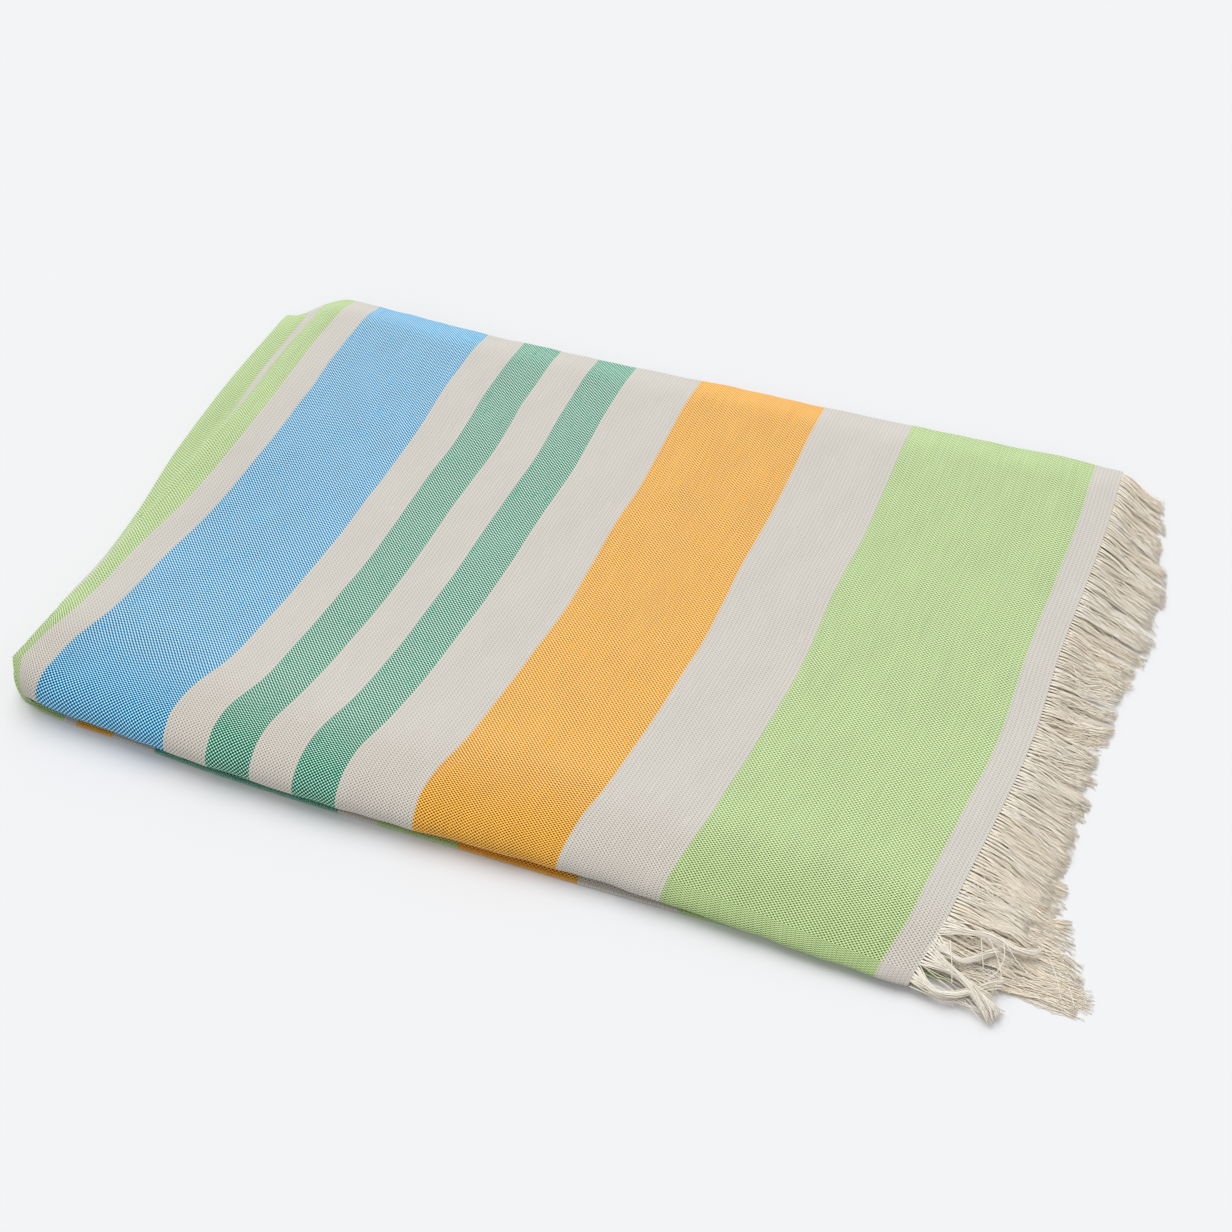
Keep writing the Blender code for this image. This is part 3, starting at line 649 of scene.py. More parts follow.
def yarn_paths(pile, random):
    """Centrelines of one leaf's yarns (yarns x points x 3), their tone and the painted shade for
    how deep they lie.
    """
    roots, places = yarn_roots(pile.end, pile.leaf, pile.count, random)
    number, middles = clumps_along(places, random)
    total = len(roots)
    group = np.arange(total) // pile.count
    depth = np.clip(roots[:, 1] + ORIGIN_Y, 0.0, FOLDED_DEPTH)
    share = np.linspace(0.0, 1.0, YARN_RINGS + 1)[None, :]

    clump_lean = random.normal(0.0, CLUMP_LEAN, len(middles))[number]
    clump_length = random.uniform(*CLUMP_LENGTHS, len(middles))[number]
    clump_wave = random.uniform(-CLUMP_WAVE, CLUMP_WAVE, len(middles))[number]
    clump_pitch = random.uniform(*CLUMP_PITCHES, len(middles))[number]
    clump_height = random.uniform(0.0, 1.0, len(middles))[number]
    stray = random.random(total) < STRAY_SHARE * (1.0 - STRAY_FADE * depth / FOLDED_DEPTH)

    reach = curve_through(REACH[pile.end], "y", "reach", depth)
    drift = curve_through(REACH[pile.end], "y", "drift", depth)
    loss = LENGTH_LOSS * random.random(total) ** LOSS_POWER
    length = reach * clump_length * (1.0 - loss)
    length[stray] *= random.uniform(*STRAY_LENGTHS, stray.sum())
    group_lean = random.normal(0.0, GROUP_LEAN, group.max() + 1)[group]
    drift = drift + clump_lean + group_lean + random.normal(0.0, YARN_LEAN, total)
    drift[stray] += random.normal(0.0, STRAY_LEAN, stray.sum())

    pull = random.uniform(*PULLS, total)
    pull[stray] = 0.0
    aside = (middles[number] - places) * pull * (-1.0 if pile.leaf == "upper" else 1.0)
    out = length[:, None] * share
    curl = random.normal(0.0, CURL, total)
    curl[stray] = random.normal(0.0, STRAY_CURL, stray.sum())
    curl_pitch = random.uniform(*CURL_PITCHES, total)
    phase = random.uniform(0.0, 2 * math.pi, total)
    sideways = drift[:, None] * out * (ROOT_LEAN + (1.0 - ROOT_LEAN) * share)
    sideways = sideways + aside[:, None] * smooth(share / PULL_END)
    clump_turn = 2 * math.pi * out / clump_pitch[:, None]
    sideways = sideways + clump_wave[:, None] * np.sin(clump_turn) * share
    wave = np.sin(2 * math.pi * out / curl_pitch[:, None] + phase[:, None])
    wave = (wave - np.sin(phase)[:, None]) * smooth(share * CURL_RISE)
    sideways = sideways + curl[:, None] * wave

    x = roots[:, 0:1] + out
    y = roots[:, 1:2] + sideways

    rank = CLUMP_LEVEL * clump_height + (1.0 - CLUMP_LEVEL) * random.random(total)
    level = pile.low + (pile.high - pile.low) * rank
    level[stray] = pile.high * random.uniform(*STRAY_LEVELS, stray.sum())
    settle = random.uniform(*SETTLES, total)
    rolling = 2 * math.pi * out / (ROLLING_PITCH * curl_pitch[:, None]) + 2.0 * phase[:, None]
    floor = level[:, None] * (1.0 - TIP_SINK * share) + ROLLING * np.sin(rolling)
    if pile.end == "upper":
        lower_x = np.array([lower_end_at(round(float(v), 2)) for v in depth]) - ORIGIN_X
        beyond = smooth((x - lower_x[:, None]) / OVER_RUN)
        over = OVER_LOWER + PILE_OVER * level[:, None] - OVER_LOWER * beyond
        floor = np.maximum(floor, over)
    ease = 1.0 - smooth(out / settle[:, None])
    z = floor + (roots[:, 2:3] - floor) * ease

    tone = GROUP_TONE * random.random(group.max() + 1)[group]
    tone = tone + (1.0 - GROUP_TONE) * random.random(total)
    # painted shade: the deeper a yarn lies in the pile, the warmer and darker it is drawn
    pile_shade = 1.0 - rank if pile.leaf == "upper" else 1.0 - 0.5 * rank
    return roots, np.stack([x, y, z], axis=2), tone, pile_shade


# locks at the front corner: of the yarns whose roots lie between two depths, a share is
# drawn together onto a bent line, where it has merged after the share "join" of its length
LOCK_LENGTHS = (0.88, 1.0)    # shares of the line that its yarns reach
LOCK_ROOT = 0.85              # share of its radius that a lock has before its brush
BRUSH_START = 0.55
LOCK_FLAT = 0.7               # height of a lock as a share of its width
LOCK_FREE = 0.6               # how much of the line a yarn follows before it merges
Gather = namedtuple("Gather", "name leaf from_y to_y share radius twist brush join")
GATHERS = (
    Gather("corner lock", "upper", -0.020, 0.011, 0.95, 0.0036, 0.5, 2.3, 0.30),
    Gather("arc", "under", -0.020, 0.012, 0.90, 0.0030, 0.3, 1.6, 0.30),
    Gather("front lock", "upper", 0.011, 0.032, 0.80, 0.0038, 0.7, 2.4, 0.45),
    Gather("turned lock", "upper", 0.028, 0.044, 0.65, 0.0030, 0.4, 1.5, 0.40),
    Gather("pale lock", "upper", 0.040, 0.056, 0.70, 0.0026, 0.5, 1.4, 0.40),
)
# the lines of these locks and of single yarns that lie across the others, from root to
# tip, fitted to the photograph
Point = namedtuple("Point", "x y z")
LOCK_LINES = {
    "corner lock": (
        Point(0.8102, -0.0072, 0.0100), Point(0.8211, -0.0082, 0.0100),
        Point(0.8330, -0.0077, 0.0100), Point(0.8442, -0.0044, 0.0100),
        Point(0.8533, 0.0015, 0.0100), Point(0.8614, -0.0008, 0.0085),
        Point(0.8710, -0.0063, 0.0060), Point(0.8800, -0.0105, 0.0040),
    ),
    "arc": (
        Point(0.8088, -0.0071, 0.0080), Point(0.8259, -0.0095, 0.0075),
        Point(0.8411, -0.0076, 0.0065), Point(0.8523, -0.0007, 0.0055),
        Point(0.8614, 0.0090, 0.0055), Point(0.8710, 0.0164, 0.0060),
        Point(0.8780, 0.0192, 0.0070),
    ),
    "front lock": (
        Point(0.8184, 0.0231, 0.0125), Point(0.8290, 0.0177, 0.0125),
        Point(0.8403, 0.0124, 0.0120), Point(0.8526, 0.0059, 0.0110),
        Point(0.8617, 0.0000, 0.0090), Point(0.8710, -0.0061, 0.0065),
        Point(0.8792, -0.0108, 0.0042),
    ),
    "turned lock": (
        Point(0.8229, 0.0434, 0.0125), Point(0.8291, 0.0321, 0.0130),
        Point(0.8352, 0.0253, 0.0130), Point(0.8446, 0.0245, 0.0125),
        Point(0.8544, 0.0316, 0.0120), Point(0.8622, 0.0385, 0.0115),
        Point(0.8692, 0.0437, 0.0110),
    ),
    "pale lock": (
        Point(0.8225, 0.0440, 0.0150), Point(0.8330, 0.0462, 0.0160),
        Point(0.8416, 0.0480, 0.0160), Point(0.8554, 0.0506, 0.0150),
        Point(0.8672, 0.0494, 0.0140), Point(0.8778, 0.0476, 0.0120),
        Point(0.8890, 0.0493, 0.0100), Point(0.8992, 0.0531, 0.0080),
    ),
}
LOOSE_LINES = {
    "loose 1": (
        Point(0.8297, 0.0379, 0.0145), Point(0.8357, 0.0179, 0.0150),
        Point(0.8396, 0.0016, 0.0140),
    ),
    "loose 2": (
        Point(0.8523, 0.0458, 0.0160), Point(0.8560, 0.0333, 0.0150),
        Point(0.8594, 0.0224, 0.0135),
    ),
    "loose 3": (
        Point(0.8583, 0.0473, 0.0170), Point(0.8679, 0.0336, 0.0155),
        Point(0.8758, 0.0165, 0.0120),
    ),
    "loose 4": (
        Point(0.8695, 0.0479, 0.0165), Point(0.8725, 0.0352, 0.0150),
        Point(0.8692, 0.0220, 0.0135), Point(0.8615, 0.0131, 0.0125),
    ),
    "loose 5": (
        Point(0.8708, 0.0484, 0.0160), Point(0.8810, 0.0382, 0.0140),
        Point(0.8927, 0.0303, 0.0115),
    ),
    "loose 6": (
        Point(0.9059, 0.0475, 0.0125), Point(0.9144, 0.0336, 0.0100),
        Point(0.9205, 0.0192, 0.0070),
    ),
    "loose 7": (
        Point(0.9241, 0.0311, 0.0085), Point(0.9275, 0.0254, 0.0070),
        Point(0.9311, 0.0189, 0.0050),
    ),
    "loose 8": (
        Point(0.8348, 0.0797, 0.0150), Point(0.8578, 0.0807, 0.0140),
        Point(0.8810, 0.0808, 0.0125),
    ),
    "tip 1": (
        Point(0.8440, 0.0030, 0.0060), Point(0.8474, -0.0035, 0.0050),
        Point(0.8510, -0.0100, 0.0025),
    ),
    "tip 2": (
        Point(0.8450, 0.0040, 0.0050), Point(0.8489, -0.0030, 0.0040),
        Point(0.8522, -0.0090, 0.0020),
    ),
    "tip 3": (
        Point(0.8480, 0.0040, 0.0060), Point(0.8513, -0.0021, 0.0050),
        Point(0.8543, -0.0085, 0.0025),
    ),
    "tip 4": (
        Point(0.8390, -0.0010, 0.0050), Point(0.8425, -0.0065, 0.0040),
        Point(0.8450, -0.0115, 0.0020),
    ),
}


Knot = namedtuple("Knot", "share x y z")


def guide_line(rows):
    """The waypoints of one line, in the part's frame, at knots from 0 to 1."""
    return [
        Knot(at / (len(rows) - 1), row.x - ORIGIN_X, row.y - ORIGIN_Y, row.z)
        for at, row in enumerate(rows)
    ]


def along_guide(line, share):
    """Points of a guide line at shares of its length."""
    return np.stack([curve_through(line, "share", axis, share) for axis in "xyz"], axis=-1)


def gathered(gather, roots, random):
    """Paths of the yarns that a lock draws together."""
    line = guide_line(LOCK_LINES[gather.name])
    reach = random.uniform(*LOCK_LENGTHS, len(roots))
    share = reach[:, None] * np.linspace(0.0, 1.0, LOCK_RINGS + 1)[None, :]
    middle = along_guide(line, share)
    angle = random.uniform(0.0, 2 * math.pi, len(roots))
    turning = angle[:, None] + 2 * math.pi * gather.twist * share
    spread = gather.radius * np.sqrt(random.random(len(roots)))[:, None]
    brush = smooth((share - BRUSH_START) / (1.0 - BRUSH_START))
    spread = spread * (LOCK_ROOT + (gather.brush - LOCK_ROOT) * brush)
    ahead = np.gradient(middle[:, :, :2], axis=1)
    ahead /= np.linalg.norm(ahead, axis=2)[:, :, None]
    lock = middle.copy()
    lock[:, :, 0] -= ahead[:, :, 1] * spread * np.cos(turning)
    lock[:, :, 1] += ahead[:, :, 0] * spread * np.cos(turning)
    lock[:, :, 2] += np.minimum(spread, gather.radius) * np.sin(turning) * LOCK_FLAT
    free = roots[:, None, :] + (middle - middle[:, :1]) * LOCK_FREE
    merged = smooth(share / gather.join)[:, :, None]
    return free + (lock - free) * merged


def front_locks(pile, roots, random):
    """Which yarns of a pile are drawn into the corner's locks, and the paths of these."""
    depth = roots[:, 1] + ORIGIN_Y
    free = np.ones(len(roots), bool)
    paths = []
    for gather in GATHERS:
        if gather.leaf != pile.leaf:
            continue
        within = (depth > gather.from_y) & (depth < gather.to_y) & free
        taken = within & (random.random(len(roots)) < gather.share)
        free &= ~taken
        paths.append(gathered(gather, roots[taken], random))
    return free, np.concatenate(paths)


def loose_paths():
    """Single yarns that lie across the others."""
    share = np.linspace(0.0, 1.0, LOCK_RINGS + 1)
    return np.stack([along_guide(guide_line(rows), share) for rows in LOOSE_LINES.values()])


def tube_corners(paths, radius):
    """Corner points of three-sided tubes round the paths (yarns x rings x 3 x 3)."""
    ahead = np.gradient(paths, axis=1)
    ahead /= np.linalg.norm(ahead, axis=2)[:, :, None]
    side = np.cross(ahead, np.array([0.0, 0.0, 1.0]))
    side /= np.linalg.norm(side, axis=2)[:, :, None] + 1e-9
    up = np.cross(side, ahead)
    width = radius * np.linspace(1.0, TIP_SHARE, paths.shape[1])[None, :, None]
    paths = paths.copy()
    paths[:, :, 2] = np.maximum(paths[:, :, 2], radius * YARN_FLAT)
    turns = np.radians(TUBE_CORNERS)
    return np.stack([
        paths + width * (math.cos(turn) * side + YARN_FLAT * math.sin(turn) * up)
        for turn in turns
    ], axis=2)


def yarn_mesh(name, bundles, radius):
    """All yarns as closed tubes in one mesh; a bundle is paths with their tone and their painted
    pile shade.
    """
    verts, faces, tones, pile_shades = [], [], [], []
    for paths, tone, pile_shade in bundles:
        total, rings, _ = paths.shape
        first = sum(len(part) for part in verts)
        index = first + np.arange(total * rings * 3).reshape(total, rings, 3)
        after = np.roll(index, -1, axis=2)
        quads = np.stack([index[:, :-1], after[:, :-1], after[:, 1:], index[:, 1:]], axis=-1)
        faces += quads.reshape(-1, 4).tolist() + index[:, 0, ::-1].tolist()
        faces += index[:, -1, :].tolist()
        verts.append(tube_corners(paths, radius).reshape(-1, 3))
        tones.append(np.repeat(tone, rings * 3))
        pile_shades.append(np.repeat(pile_shade, rings * 3))

    mesh = bpy.data.meshes.new(name)
    mesh.from_pydata(np.concatenate(verts).tolist(), [], faces)
    mesh.update()
    for label, values in (("yarn_tone", tones), ("yarn_hidden", pile_shades)):
        attribute = mesh.attributes.new(label, "FLOAT", "POINT")
        attribute.data.foreach_set("value", np.concatenate(values).astype(np.float32))
    yarns = bpy.data.objects.new(name, mesh)
    bpy.context.scene.collection.objects.link(yarns)
    bpy.ops.object.select_all(action="DESELECT")
    yarns.select_set(True)
    bpy.context.view_layer.objects.active = yarns
    face_outward()
    bpy.ops.object.shade_smooth()
    return yarns


def build_fringe(end, settings, seed):
    """One end's fringe, both leaves, yarn by yarn."""
    random = np.random.default_rng(seed)
    bundles = []
    for pile in PILES:
        if pile.end != end:
            continue
        roots, paths, tone, pile_shade = yarn_paths(pile, random)
        if end == "upper":
            free, locks = front_locks(pile, roots, random)
            paths, tone, pile_shade = paths[free], tone[free], pile_shade[free]
            bundles.append((locks, random.random(len(locks)), np.full(len(locks), LOCK_PILE_SHADE)))
        bundles.append((paths, tone, pile_shade))
    if end == "upper":
        loose = loose_paths()
        bundles.append((loose, np.ones(len(loose)), np.zeros(len(loose))))
    return yarn_mesh("fringe_yarns_" + end, bundles, settings.yarn_radius)


# ---- finishes ----

# weft yarns: colour, how low on the weave's wave the warp's dots start, how strongly the painted
# shade in the gaps shows and how dark it is, how uneven the yarn is, and its number in the ramps
Weft = namedtuple("Weft", "red green blue dots gaps dark uneven code")
WEFT = {
    "cream": Weft(0.668, 0.640, 0.585, 1.00, 0.55, 0.45, 0.10, 0.1),
    "lime": Weft(0.470, 0.665, 0.250, 0.40, 0.75, 0.22, 0.30, 0.3),
    "orange": Weft(0.975, 0.452, 0.018, 0.46, 0.80, 0.12, 0.30, 0.5),
    "green": Weft(0.003, 0.385, 0.222, 0.13, 1.00, 0.04, 0.40, 0.7),
    "blue": Weft(0.003, 0.455, 0.850, 0.15, 1.00, 0.04, 0.40, 0.9),
}
CLOTH_ROUGHNESS = 0.88
YARN_ROUGHNESS = 0.85
GLOSS = 0.2
SHEEN = 0.12
SHEEN_ROUGHNESS = 0.5
DOT_RISE = 0.30               # a dot of warp grows to full over this much of the wave
WARP = (0.930, 0.915, 0.870, 1.0)
FRINGE_OPEN = (0.990, 0.935, 0.830, 1.0)
# painted shade of yarns deep in the pile, warmer and darker than open yarns
FRINGE_PAINTED_SHADE = (0.985, 0.870, 0.690, 1.0)
# painted shade of the weft's ribs, darker in their middle
RIB_SHADE = 0.10              # how much darker the weft's ribs are in their middle
# the weave's gaps are painted as shade: its warm tint, where on the wave it begins and is full,
# and its stronger side
GAP_SHADE_WARMTH = (1.0, 0.86, 0.68, 1.0)
GAP_RISE = (0.04, 0.34)       # where on the wave a gap begins and is full
GAP_SIDE = 0.3                # how much more a gap shows on one side of a warp yarn
GAP_DEPTH = 0.5
SPECK_COLOUR = (0.30, 0.22, 0.10, 1.0)
SPECK_STRENGTH = 0.5
SLUB_COVER = 0.55             # how much of dots and gaps a slub hides
RELIEF_STRENGTH = 0.55
RELIEF_HEIGHT = 0.0004
YARN_RELIEF = 0.5             # relief of the uneven yarn beside the weave's
SELVEDGE = (0.008, 0.045)     # the gaps' painted shade is weaker at a selvedge, and full from here on
SELVEDGE_CONTRAST = 0.5       # share of the gaps' contrast left at the selvedge
# painted shade of the front roll: near the front fold the gaps' shade is stronger and the warp's
# dots smaller
NEAR_FRONT = (0.02, 0.13)     # distances from the front fold between which its effect ends
PLAIN_CONTRAST = 0.90
FRONT_SHADE_CONTRAST = 1.60         # added to the gaps' contrast at the front fold
FRONT_SHADE_DOTS = 0.22             # how much higher on the wave the warp's dots start there
WAVER = 0.0020                # the bands' edges waver this far in all
DARKEST_YARN = 0.97           # brightness of the darkest yarn, and its rise to the lightest
YARN_TONE_RISE = 0.05

# noise over the cloth: repeats for each metre across and along, and its detail
Noise = namedtuple("Noise", "across along detail")
WAVER_NOISE = Noise(14.0, 6.0, 1.0)
TONE_NOISE = Noise(22.0, 300.0, 2.0)
PATCH_NOISE = Noise(20.0, 30.0, 2.0)
PATCH_SHARE = 0.35
SLUB_NOISE = Noise(48.0, 330.0, 1.0)
SLUB_RISE = (0.67, 0.84)
SPECK_NOISE = Noise(640.0, 640.0, 1.0)
SPECK_RISE = (0.855, 0.875)


def add_node(tree, kind, inputs=(), **settings):
    """A node with its settings, and its inputs joined to sockets or set to values."""
    node = tree.nodes.new(kind)
    for name, value in settings.items():
        setattr(node, name, value)
    for socket, value in dict(inputs).items():
        if isinstance(value, bpy.types.NodeSocket):
            tree.links.new(value, node.inputs[socket])
        else:
            node.inputs[socket].default_value = value
    return node


def calc(tree, operation, *values):
    """One arithmetic step on sockets or numbers."""
    return add_node(tree, "ShaderNodeMath", enumerate(values), operation=operation).outputs[0]


def times(tree, first, second):
    """The product of two sockets or numbers."""
    return calc(tree, "MULTIPLY", first, second)


def times_plus(tree, value, factor, added):
    """A socket times a factor, plus something."""
    return calc(tree, "MULTIPLY_ADD", value, factor, added)


def step_between(tree, value, low, high):
    """A smooth rise from 0 to 1 as value goes from low to high."""
    inputs = {"Value": value, "From Min": low, "From Max": high}
    return add_node(
        tree, "ShaderNodeMapRange", inputs, interpolation_type="SMOOTHSTEP"
    ).outputs["Result"]


def mixed(tree, share, first, second, kind="MIX"):
    """Two colours blended."""
    inputs = {0: share, 6: first, 7: second}
    return add_node(tree, "ShaderNodeMix", inputs, data_type="RGBA", blend_type=kind).outputs[2]


def shaded(tree, colour, brightness):
    """A colour made darker or lighter by a factor."""
    inputs = {0: brightness, 1: brightness, 2: brightness}
    grey = add_node(tree, "ShaderNodeCombineColor", inputs).outputs[0]
    return mixed(tree, 1.0, colour, grey, "MULTIPLY")


def noise_at(tree, across, along, noise):
    """Noise stretched over the cloth."""
    place = add_node(tree, "ShaderNodeCombineXYZ", {
        0: times(tree, across, noise.across),
        1: times(tree, along, noise.along),
    }).outputs[0]
    return add_node(
        tree, "ShaderNodeTexNoise", {"Vector": place, "Scale": 1.0, "Detail": noise.detail},
        noise_dimensions="2D",
    ).outputs[0]


def new_group(name, inputs, outputs):
    """An empty node group with named sockets."""
    group = bpy.data.node_groups.new(name, "ShaderNodeTree")
    for label in inputs:
        group.interface.new_socket(name=label, in_out="INPUT", socket_type="NodeSocketFloat")
    for label in outputs:
        group.interface.new_socket(name=label, in_out="OUTPUT", socket_type="NodeSocketFloat")
    return group, group.nodes.new("NodeGroupInput"), group.nodes.new("NodeGroupOutput")


def weave_group():
    """Where warp yarn shows, where the gaps take painted shade, the weft's ribs and the weave's
    relief.
    """
    group, given, result = new_group(
        "plain weave", ("Across", "Along", "Warp pitch", "Weft pitch"),
        ("Wave", "Gap", "Rib", "Height"),
    )
    turns = []
    for place, pitch in (("Across", "Warp pitch"), ("Along", "Weft pitch")):
        turn = calc(group, "DIVIDE", given.outputs[place], given.outputs[pitch])
        turns.append(calc(group, "COSINE", times(group, turn, 2 * math.pi)))
    product = times(group, *turns)
    low = calc(group, "MAXIMUM", times(group, product, -1.0), 0.0)
    side = times_plus(group, turns[0], -GAP_SIDE, 1.0 - GAP_SIDE)
    gap = step_between(group, times(group, low, side), *GAP_RISE)
    rib = times_plus(group, turns[1], 0.5, 0.5)
    height = calc(group, "ABSOLUTE", product)
    height = calc(group, "SQRT", height)
    height = calc(group, "SUBTRACT", height, times(group, gap, GAP_DEPTH))
    for label, socket in (("Wave", product), ("Gap", gap), ("Rib", rib), ("Height", height)):
        group.links.new(socket, result.inputs[label])
    return group


def streak_group():
    """Unevenness of the weft yarn: its tone, its slubs and rare specks."""
    group, given, result = new_group("uneven yarn", ("Across", "Along"), ("Tone", "Slub", "Speck"))
    across = given.outputs["Across"]
    along = given.outputs["Along"]
    tone = noise_at(group, across, along, TONE_NOISE)
    patch = noise_at(group, across, along, PATCH_NOISE)
    tone = times(group, tone, 1.0 - PATCH_SHARE)
    tone = times_plus(group, patch, PATCH_SHARE, tone)
    slub = step_between(group, noise_at(group, across, along, SLUB_NOISE), *SLUB_RISE)
    speck = step_between(group, noise_at(group, across, along, SPECK_NOISE), *SPECK_RISE)
    for label, socket in (("Tone", tone), ("Slub", slub), ("Speck", speck)):
        group.links.new(socket, result.inputs[label])
    return group


def plain_material(name, colour, roughness):
    """A matt material, with its shader."""
    material = bpy.data.materials.new(name)
    material.use_nodes = True
    shader = material.node_tree.nodes["Principled BSDF"]
    shader.inputs["Base Color"].default_value = colour
    shader.inputs["Roughness"].default_value = roughness
    shader.inputs["Specular IOR Level"].default_value = GLOSS
    return material, shader


def yarn_number(tree, distance):
    """The number of the weft yarn at a distance along the cloth."""
    codes = [WEFT[band.yarn].code for band in BANDS]
    number = codes[0]
    for edge, here, after in zip(band_edges()[1:-1], codes, codes[1:]):
        passed = calc(tree, "GREATER_THAN", distance, float(edge))
        number = times_plus(tree, passed, after - here, number)
    return number


def yarn_ramp(tree, number, names):
    """A ramp that gives columns of the weft table for a yarn's number."""
    node = add_node(tree, "ShaderNodeValToRGB", {0: number})
    ramp = node.color_ramp
    ramp.interpolation = "CONSTANT"
    for at, weft in enumerate(WEFT.values()):
        stop = ramp.elements[at] if at < 2 else ramp.elements.new(weft.code - 0.1)
        stop.position = weft.code - 0.1
        stop.color = [getattr(weft, name) for name in names]
    return node


def woven_cotton(settings, width, front):
    """Woven cotton: coloured weft over a cream warp, with the weave's relief."""
    material, shader = plain_material("woven cotton", WARP, CLOTH_ROUGHNESS)
    shader.inputs["Sheen Weight"].default_value = SHEEN
    shader.inputs["Sheen Roughness"].default_value = SHEEN_ROUGHNESS
    tree = material.node_tree
    uv = add_node(tree, "ShaderNodeUVMap", uv_map="cloth_distances").outputs[0]
    place = add_node(tree, "ShaderNodeSeparateXYZ", {0: uv})
    across = place.outputs[0]
    along = place.outputs[1]
    waver = noise_at(tree, across, along, WAVER_NOISE)
    along = times_plus(tree, waver, WAVER, along)
    along = calc(tree, "SUBTRACT", along, WAVER / 2)

    place = {"Across": across, "Along": along}
    pitches = {"Warp pitch": settings.warp_pitch, "Weft pitch": settings.weft_pitch}
    weave = add_node(tree, "ShaderNodeGroup", {**place, **pitches}, node_tree=weave_group())
    yarn = add_node(tree, "ShaderNodeGroup", place, node_tree=streak_group())

    number = yarn_number(tree, along)
    colours = yarn_ramp(tree, number, ("red", "green", "blue", "dots"))
    texture = yarn_ramp(tree, number, ("gaps", "dark", "uneven", "dots"))
    texture = add_node(tree, "ShaderNodeSeparateColor", {0: texture.outputs["Color"]})
    weft = colours.outputs["Color"]
    dots = colours.outputs["Alpha"]
    gaps, dark, uneven = texture.outputs[:3]

    off_middle = calc(tree, "SUBTRACT", yarn.outputs["Tone"], 0.5)
    tone = times_plus(tree, off_middle, uneven, 1.0)
    # painted shade of the weft's ribs
    rib = times_plus(tree, weave.outputs["Rib"], -RIB_SHADE, 1.0 + RIB_SHADE / 2)
    weft = shaded(tree, weft, times(tree, tone, rib))

    from_back = calc(tree, "MINIMUM", across, calc(tree, "SUBTRACT", width, across))
    away_from_selvedge = step_between(tree, from_back, *SELVEDGE)
    from_front = calc(tree, "ABSOLUTE", calc(tree, "SUBTRACT", across, front))
    # painted shade of the front roll, strongest at the front fold
    front_roll_shade = calc(tree, "SUBTRACT", 1.0, step_between(tree, from_front, *NEAR_FRONT))
    contrast = times_plus(tree, front_roll_shade, FRONT_SHADE_CONTRAST, PLAIN_CONTRAST)
    dots = times_plus(tree, front_roll_shade, FRONT_SHADE_DOTS, dots)
    selvedge_fade = times_plus(tree, away_from_selvedge, 1.0 - SELVEDGE_CONTRAST, SELVEDGE_CONTRAST)
    contrast = times(tree, contrast, selvedge_fade)
    plain = times_plus(tree, yarn.outputs["Slub"], -SLUB_COVER, 1.0)

    over = calc(tree, "DIVIDE", calc(tree, "SUBTRACT", weave.outputs["Wave"], dots), DOT_RISE)
    dot = times(tree, step_between(tree, over, 0.0, 1.0), plain)
    colour = mixed(tree, dot, weft, WARP)
    # painted shade in the weave's gaps, warm and darker than the weft
    gap_shade_share = times(tree, times(tree, gaps, contrast), weave.outputs["Gap"])
    gap_shade_share = times(tree, gap_shade_share, plain)
    painted_gap_shade = shaded(tree, mixed(tree, 1.0, weft, GAP_SHADE_WARMTH, "MULTIPLY"), dark)
    colour = mixed(tree, calc(tree, "MINIMUM", gap_shade_share, 1.0), colour, painted_gap_shade)
    speck = times(tree, yarn.outputs["Speck"], SPECK_STRENGTH)
    colour = mixed(tree, speck, colour, SPECK_COLOUR)
    tree.links.new(colour, shader.inputs["Base Color"])

    height = weave.outputs["Height"]
    relief = times_plus(tree, yarn.outputs["Tone"], YARN_RELIEF, height)
    bump = add_node(tree, "ShaderNodeBump", {
        "Strength": RELIEF_STRENGTH, "Distance": RELIEF_HEIGHT, "Height": relief,
    })
    tree.links.new(bump.outputs[0], shader.inputs["Normal"])
    return material


def fringe_cotton():
    """Undyed cotton yarn with painted shade, warmer and darker deep in the pile, each yarn with
    its own tone.
    """
    material, shader = plain_material("fringe cotton", FRINGE_OPEN, YARN_ROUGHNESS)
    tree = material.node_tree
    # painted shade: yarns deep in the pile take the warmer, darker colour
    pile_shade = add_node(tree, "ShaderNodeAttribute", attribute_name="yarn_hidden").outputs["Fac"]
    tone = add_node(tree, "ShaderNodeAttribute", attribute_name="yarn_tone").outputs["Fac"]
    colour = mixed(tree, pile_shade, FRINGE_OPEN, FRINGE_PAINTED_SHADE)
    colour = shaded(tree, colour, times_plus(tree, tone, YARN_TONE_RISE, DARKEST_YARN))
    tree.links.new(colour, shader.inputs["Base Color"])
    return material


# ---- stage ----

FOCAL_PIXELS = 1529.96        # the photograph's camera, fitted to the towel's outline
PHOTO_PIXELS = 1232
SENSOR = 36.0
CAMERA_DISTANCE = 1.4542
CAMERA_AZIMUTH = math.radians(24.904)
CAMERA_HEIGHT = math.radians(49.546)
CAMERA_ROLL = math.radians(-5.028)
CAMERA_TARGET = (0.4553, 0.2774)
FLOOR_SIZE = 14.0
FLOOR_COLOUR = (0.805, 0.808, 0.815, 1.0)
FLOOR_ROUGHNESS = 0.9
KEY_FROM = (-0.26, 0.38, 0.89)
KEY_SOFTNESS = math.radians(55.0)
KEY_POWER = 1.95
FILL_POWER = 0.58
FILL_COLOUR = (0.97, 0.98, 1.0, 1.0)


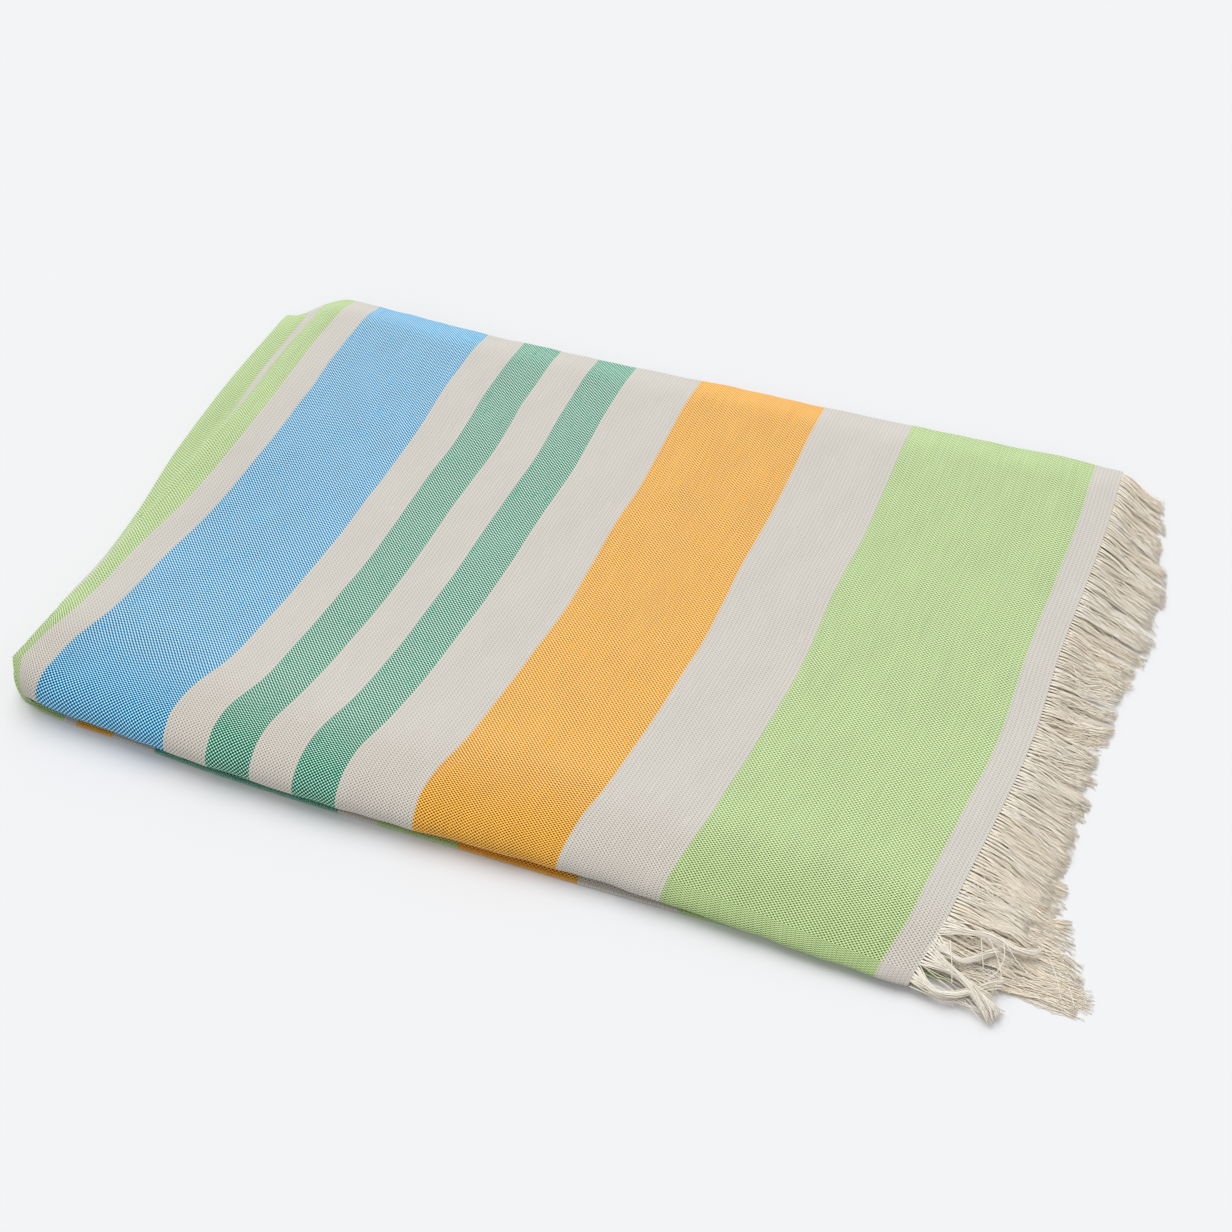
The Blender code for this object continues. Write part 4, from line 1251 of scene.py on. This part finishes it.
def build_stage():
    """A pale floor, soft studio light and the camera at the photograph's angle."""
    bpy.ops.object.select_all(action="DESELECT")
    bpy.ops.mesh.primitive_plane_add(size=FLOOR_SIZE, location=(0.0, 0.0, 0.0))
    floor = bpy.context.active_object
    floor.name = "pale_floor"
    floor.data.materials.append(plain_material("pale floor", FLOOR_COLOUR, FLOOR_ROUGHNESS)[0])

    light = bpy.data.lights.new("soft key light", "SUN")
    light.angle = KEY_SOFTNESS
    light.energy = KEY_POWER
    lamp = bpy.data.objects.new("soft key light", light)
    lamp.rotation_euler = Vector(KEY_FROM).to_track_quat("Z", "Y").to_euler()
    bpy.context.scene.collection.objects.link(lamp)

    world = bpy.data.worlds.new("studio")
    bpy.context.scene.world = world
    world.use_nodes = True
    background = world.node_tree.nodes["Background"]
    background.inputs["Color"].default_value = FILL_COLOUR
    background.inputs["Strength"].default_value = FILL_POWER

    away = Vector((
        math.cos(CAMERA_HEIGHT) * math.sin(CAMERA_AZIMUTH),
        -math.cos(CAMERA_HEIGHT) * math.cos(CAMERA_AZIMUTH),
        math.sin(CAMERA_HEIGHT),
    ))
    target = Vector((CAMERA_TARGET[0] - ORIGIN_X, CAMERA_TARGET[1] - ORIGIN_Y, 0.0))
    place = target + CAMERA_DISTANCE * away
    right = (-away).cross(Vector((0.0, 0.0, 1.0))).normalized()
    up = right.cross(-away)
    turned_right = math.cos(CAMERA_ROLL) * right + math.sin(CAMERA_ROLL) * up
    turned_up = math.cos(CAMERA_ROLL) * up - math.sin(CAMERA_ROLL) * right
    lens = bpy.data.cameras.new("camera")
    lens.sensor_width = SENSOR
    lens.lens = FOCAL_PIXELS / PHOTO_PIXELS * SENSOR
    camera = bpy.data.objects.new("camera", lens)
    camera.matrix_world = Matrix((
        (turned_right.x, turned_up.x, away.x, place.x),
        (turned_right.y, turned_up.y, away.y, place.y),
        (turned_right.z, turned_up.z, away.z, place.z),
        (0.0, 0.0, 0.0, 1.0),
    ))
    bpy.context.scene.collection.objects.link(camera)
    bpy.context.scene.camera = camera
    bpy.context.scene.view_settings.view_transform = "Standard"


# ---- add-on ----

class TowelSettings(bpy.types.PropertyGroup):
    """Sizes of the towel's cloth and yarns."""

    cloth_thickness: bpy.props.FloatProperty(
        name="Cloth thickness", description="Thickness of the woven sheet",
        default=0.0013, min=0.0005, max=0.003, unit="LENGTH",
    )
    warp_pitch: bpy.props.FloatProperty(
        name="Warp pitch", description="Repeat of the weave across the cloth",
        default=0.0030, min=0.001, max=0.01, unit="LENGTH",
    )
    weft_pitch: bpy.props.FloatProperty(
        name="Weft pitch", description="Repeat of the weave along the cloth",
        default=0.00365, min=0.001, max=0.01, unit="LENGTH",
    )
    yarn_radius: bpy.props.FloatProperty(
        name="Yarn radius", description="Radius of one fringe yarn",
        default=0.00043, min=0.0001, max=0.002, unit="LENGTH",
    )


class TOWEL_OT_cloth(bpy.types.Operator):
    """Build the woven cloth"""

    bl_idname = "towel.cloth"
    bl_label = "Build cloth"

    def execute(self, context):
        settings = context.scene.towel_settings
        cloth, width, front = build_cloth(settings)
        cloth.data.materials.append(woven_cotton(settings, width, front))
        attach(cloth, "root")
        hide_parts("towel_cloth")
        return {"FINISHED"}


class TOWEL_OT_fringes(bpy.types.Operator):
    """Build the fringes of both woven ends"""

    bl_idname = "towel.fringes"
    bl_label = "Build fringes"

    def execute(self, context):
        settings = context.scene.towel_settings
        material = fringe_cotton()
        for end, seed in (("upper", 11), ("lower", 23)):
            yarns = build_fringe(end, settings, seed)
            yarns.data.materials.append(material)
            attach(yarns, "root")
            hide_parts("fringe_" + end)
        return {"FINISHED"}


class TOWEL_OT_stage(bpy.types.Operator):
    """Build the floor, the lights and the camera"""

    bl_idname = "towel.stage"
    bl_label = "Build stage"

    def execute(self, context):
        build_stage()
        return {"FINISHED"}


class TOWEL_PT_panel(bpy.types.Panel):
    """The towel's settings and build buttons"""

    bl_label = "Folded towel"
    bl_idname = "TOWEL_PT_panel"
    bl_space_type = "VIEW_3D"
    bl_region_type = "UI"
    bl_category = "Towel"

    def draw(self, context):
        settings = context.scene.towel_settings
        for name in ("cloth_thickness", "warp_pitch", "weft_pitch", "yarn_radius"):
            self.layout.prop(settings, name)
        for operator in (TOWEL_OT_cloth, TOWEL_OT_fringes, TOWEL_OT_stage):
            self.layout.operator(operator.bl_idname)


CLASSES = (TowelSettings, TOWEL_OT_cloth, TOWEL_OT_fringes, TOWEL_OT_stage, TOWEL_PT_panel)


def register():
    for cls in CLASSES:
        bpy.utils.register_class(cls)
    bpy.types.Scene.towel_settings = bpy.props.PointerProperty(type=TowelSettings)


def unregister():
    del bpy.types.Scene.towel_settings
    for cls in reversed(CLASSES):
        bpy.utils.unregister_class(cls)


def main():
    register()
    bpy.ops.towel.cloth()
    bpy.ops.towel.fringes()
    bpy.ops.towel.stage()


if __name__ == "__main__":
    main()
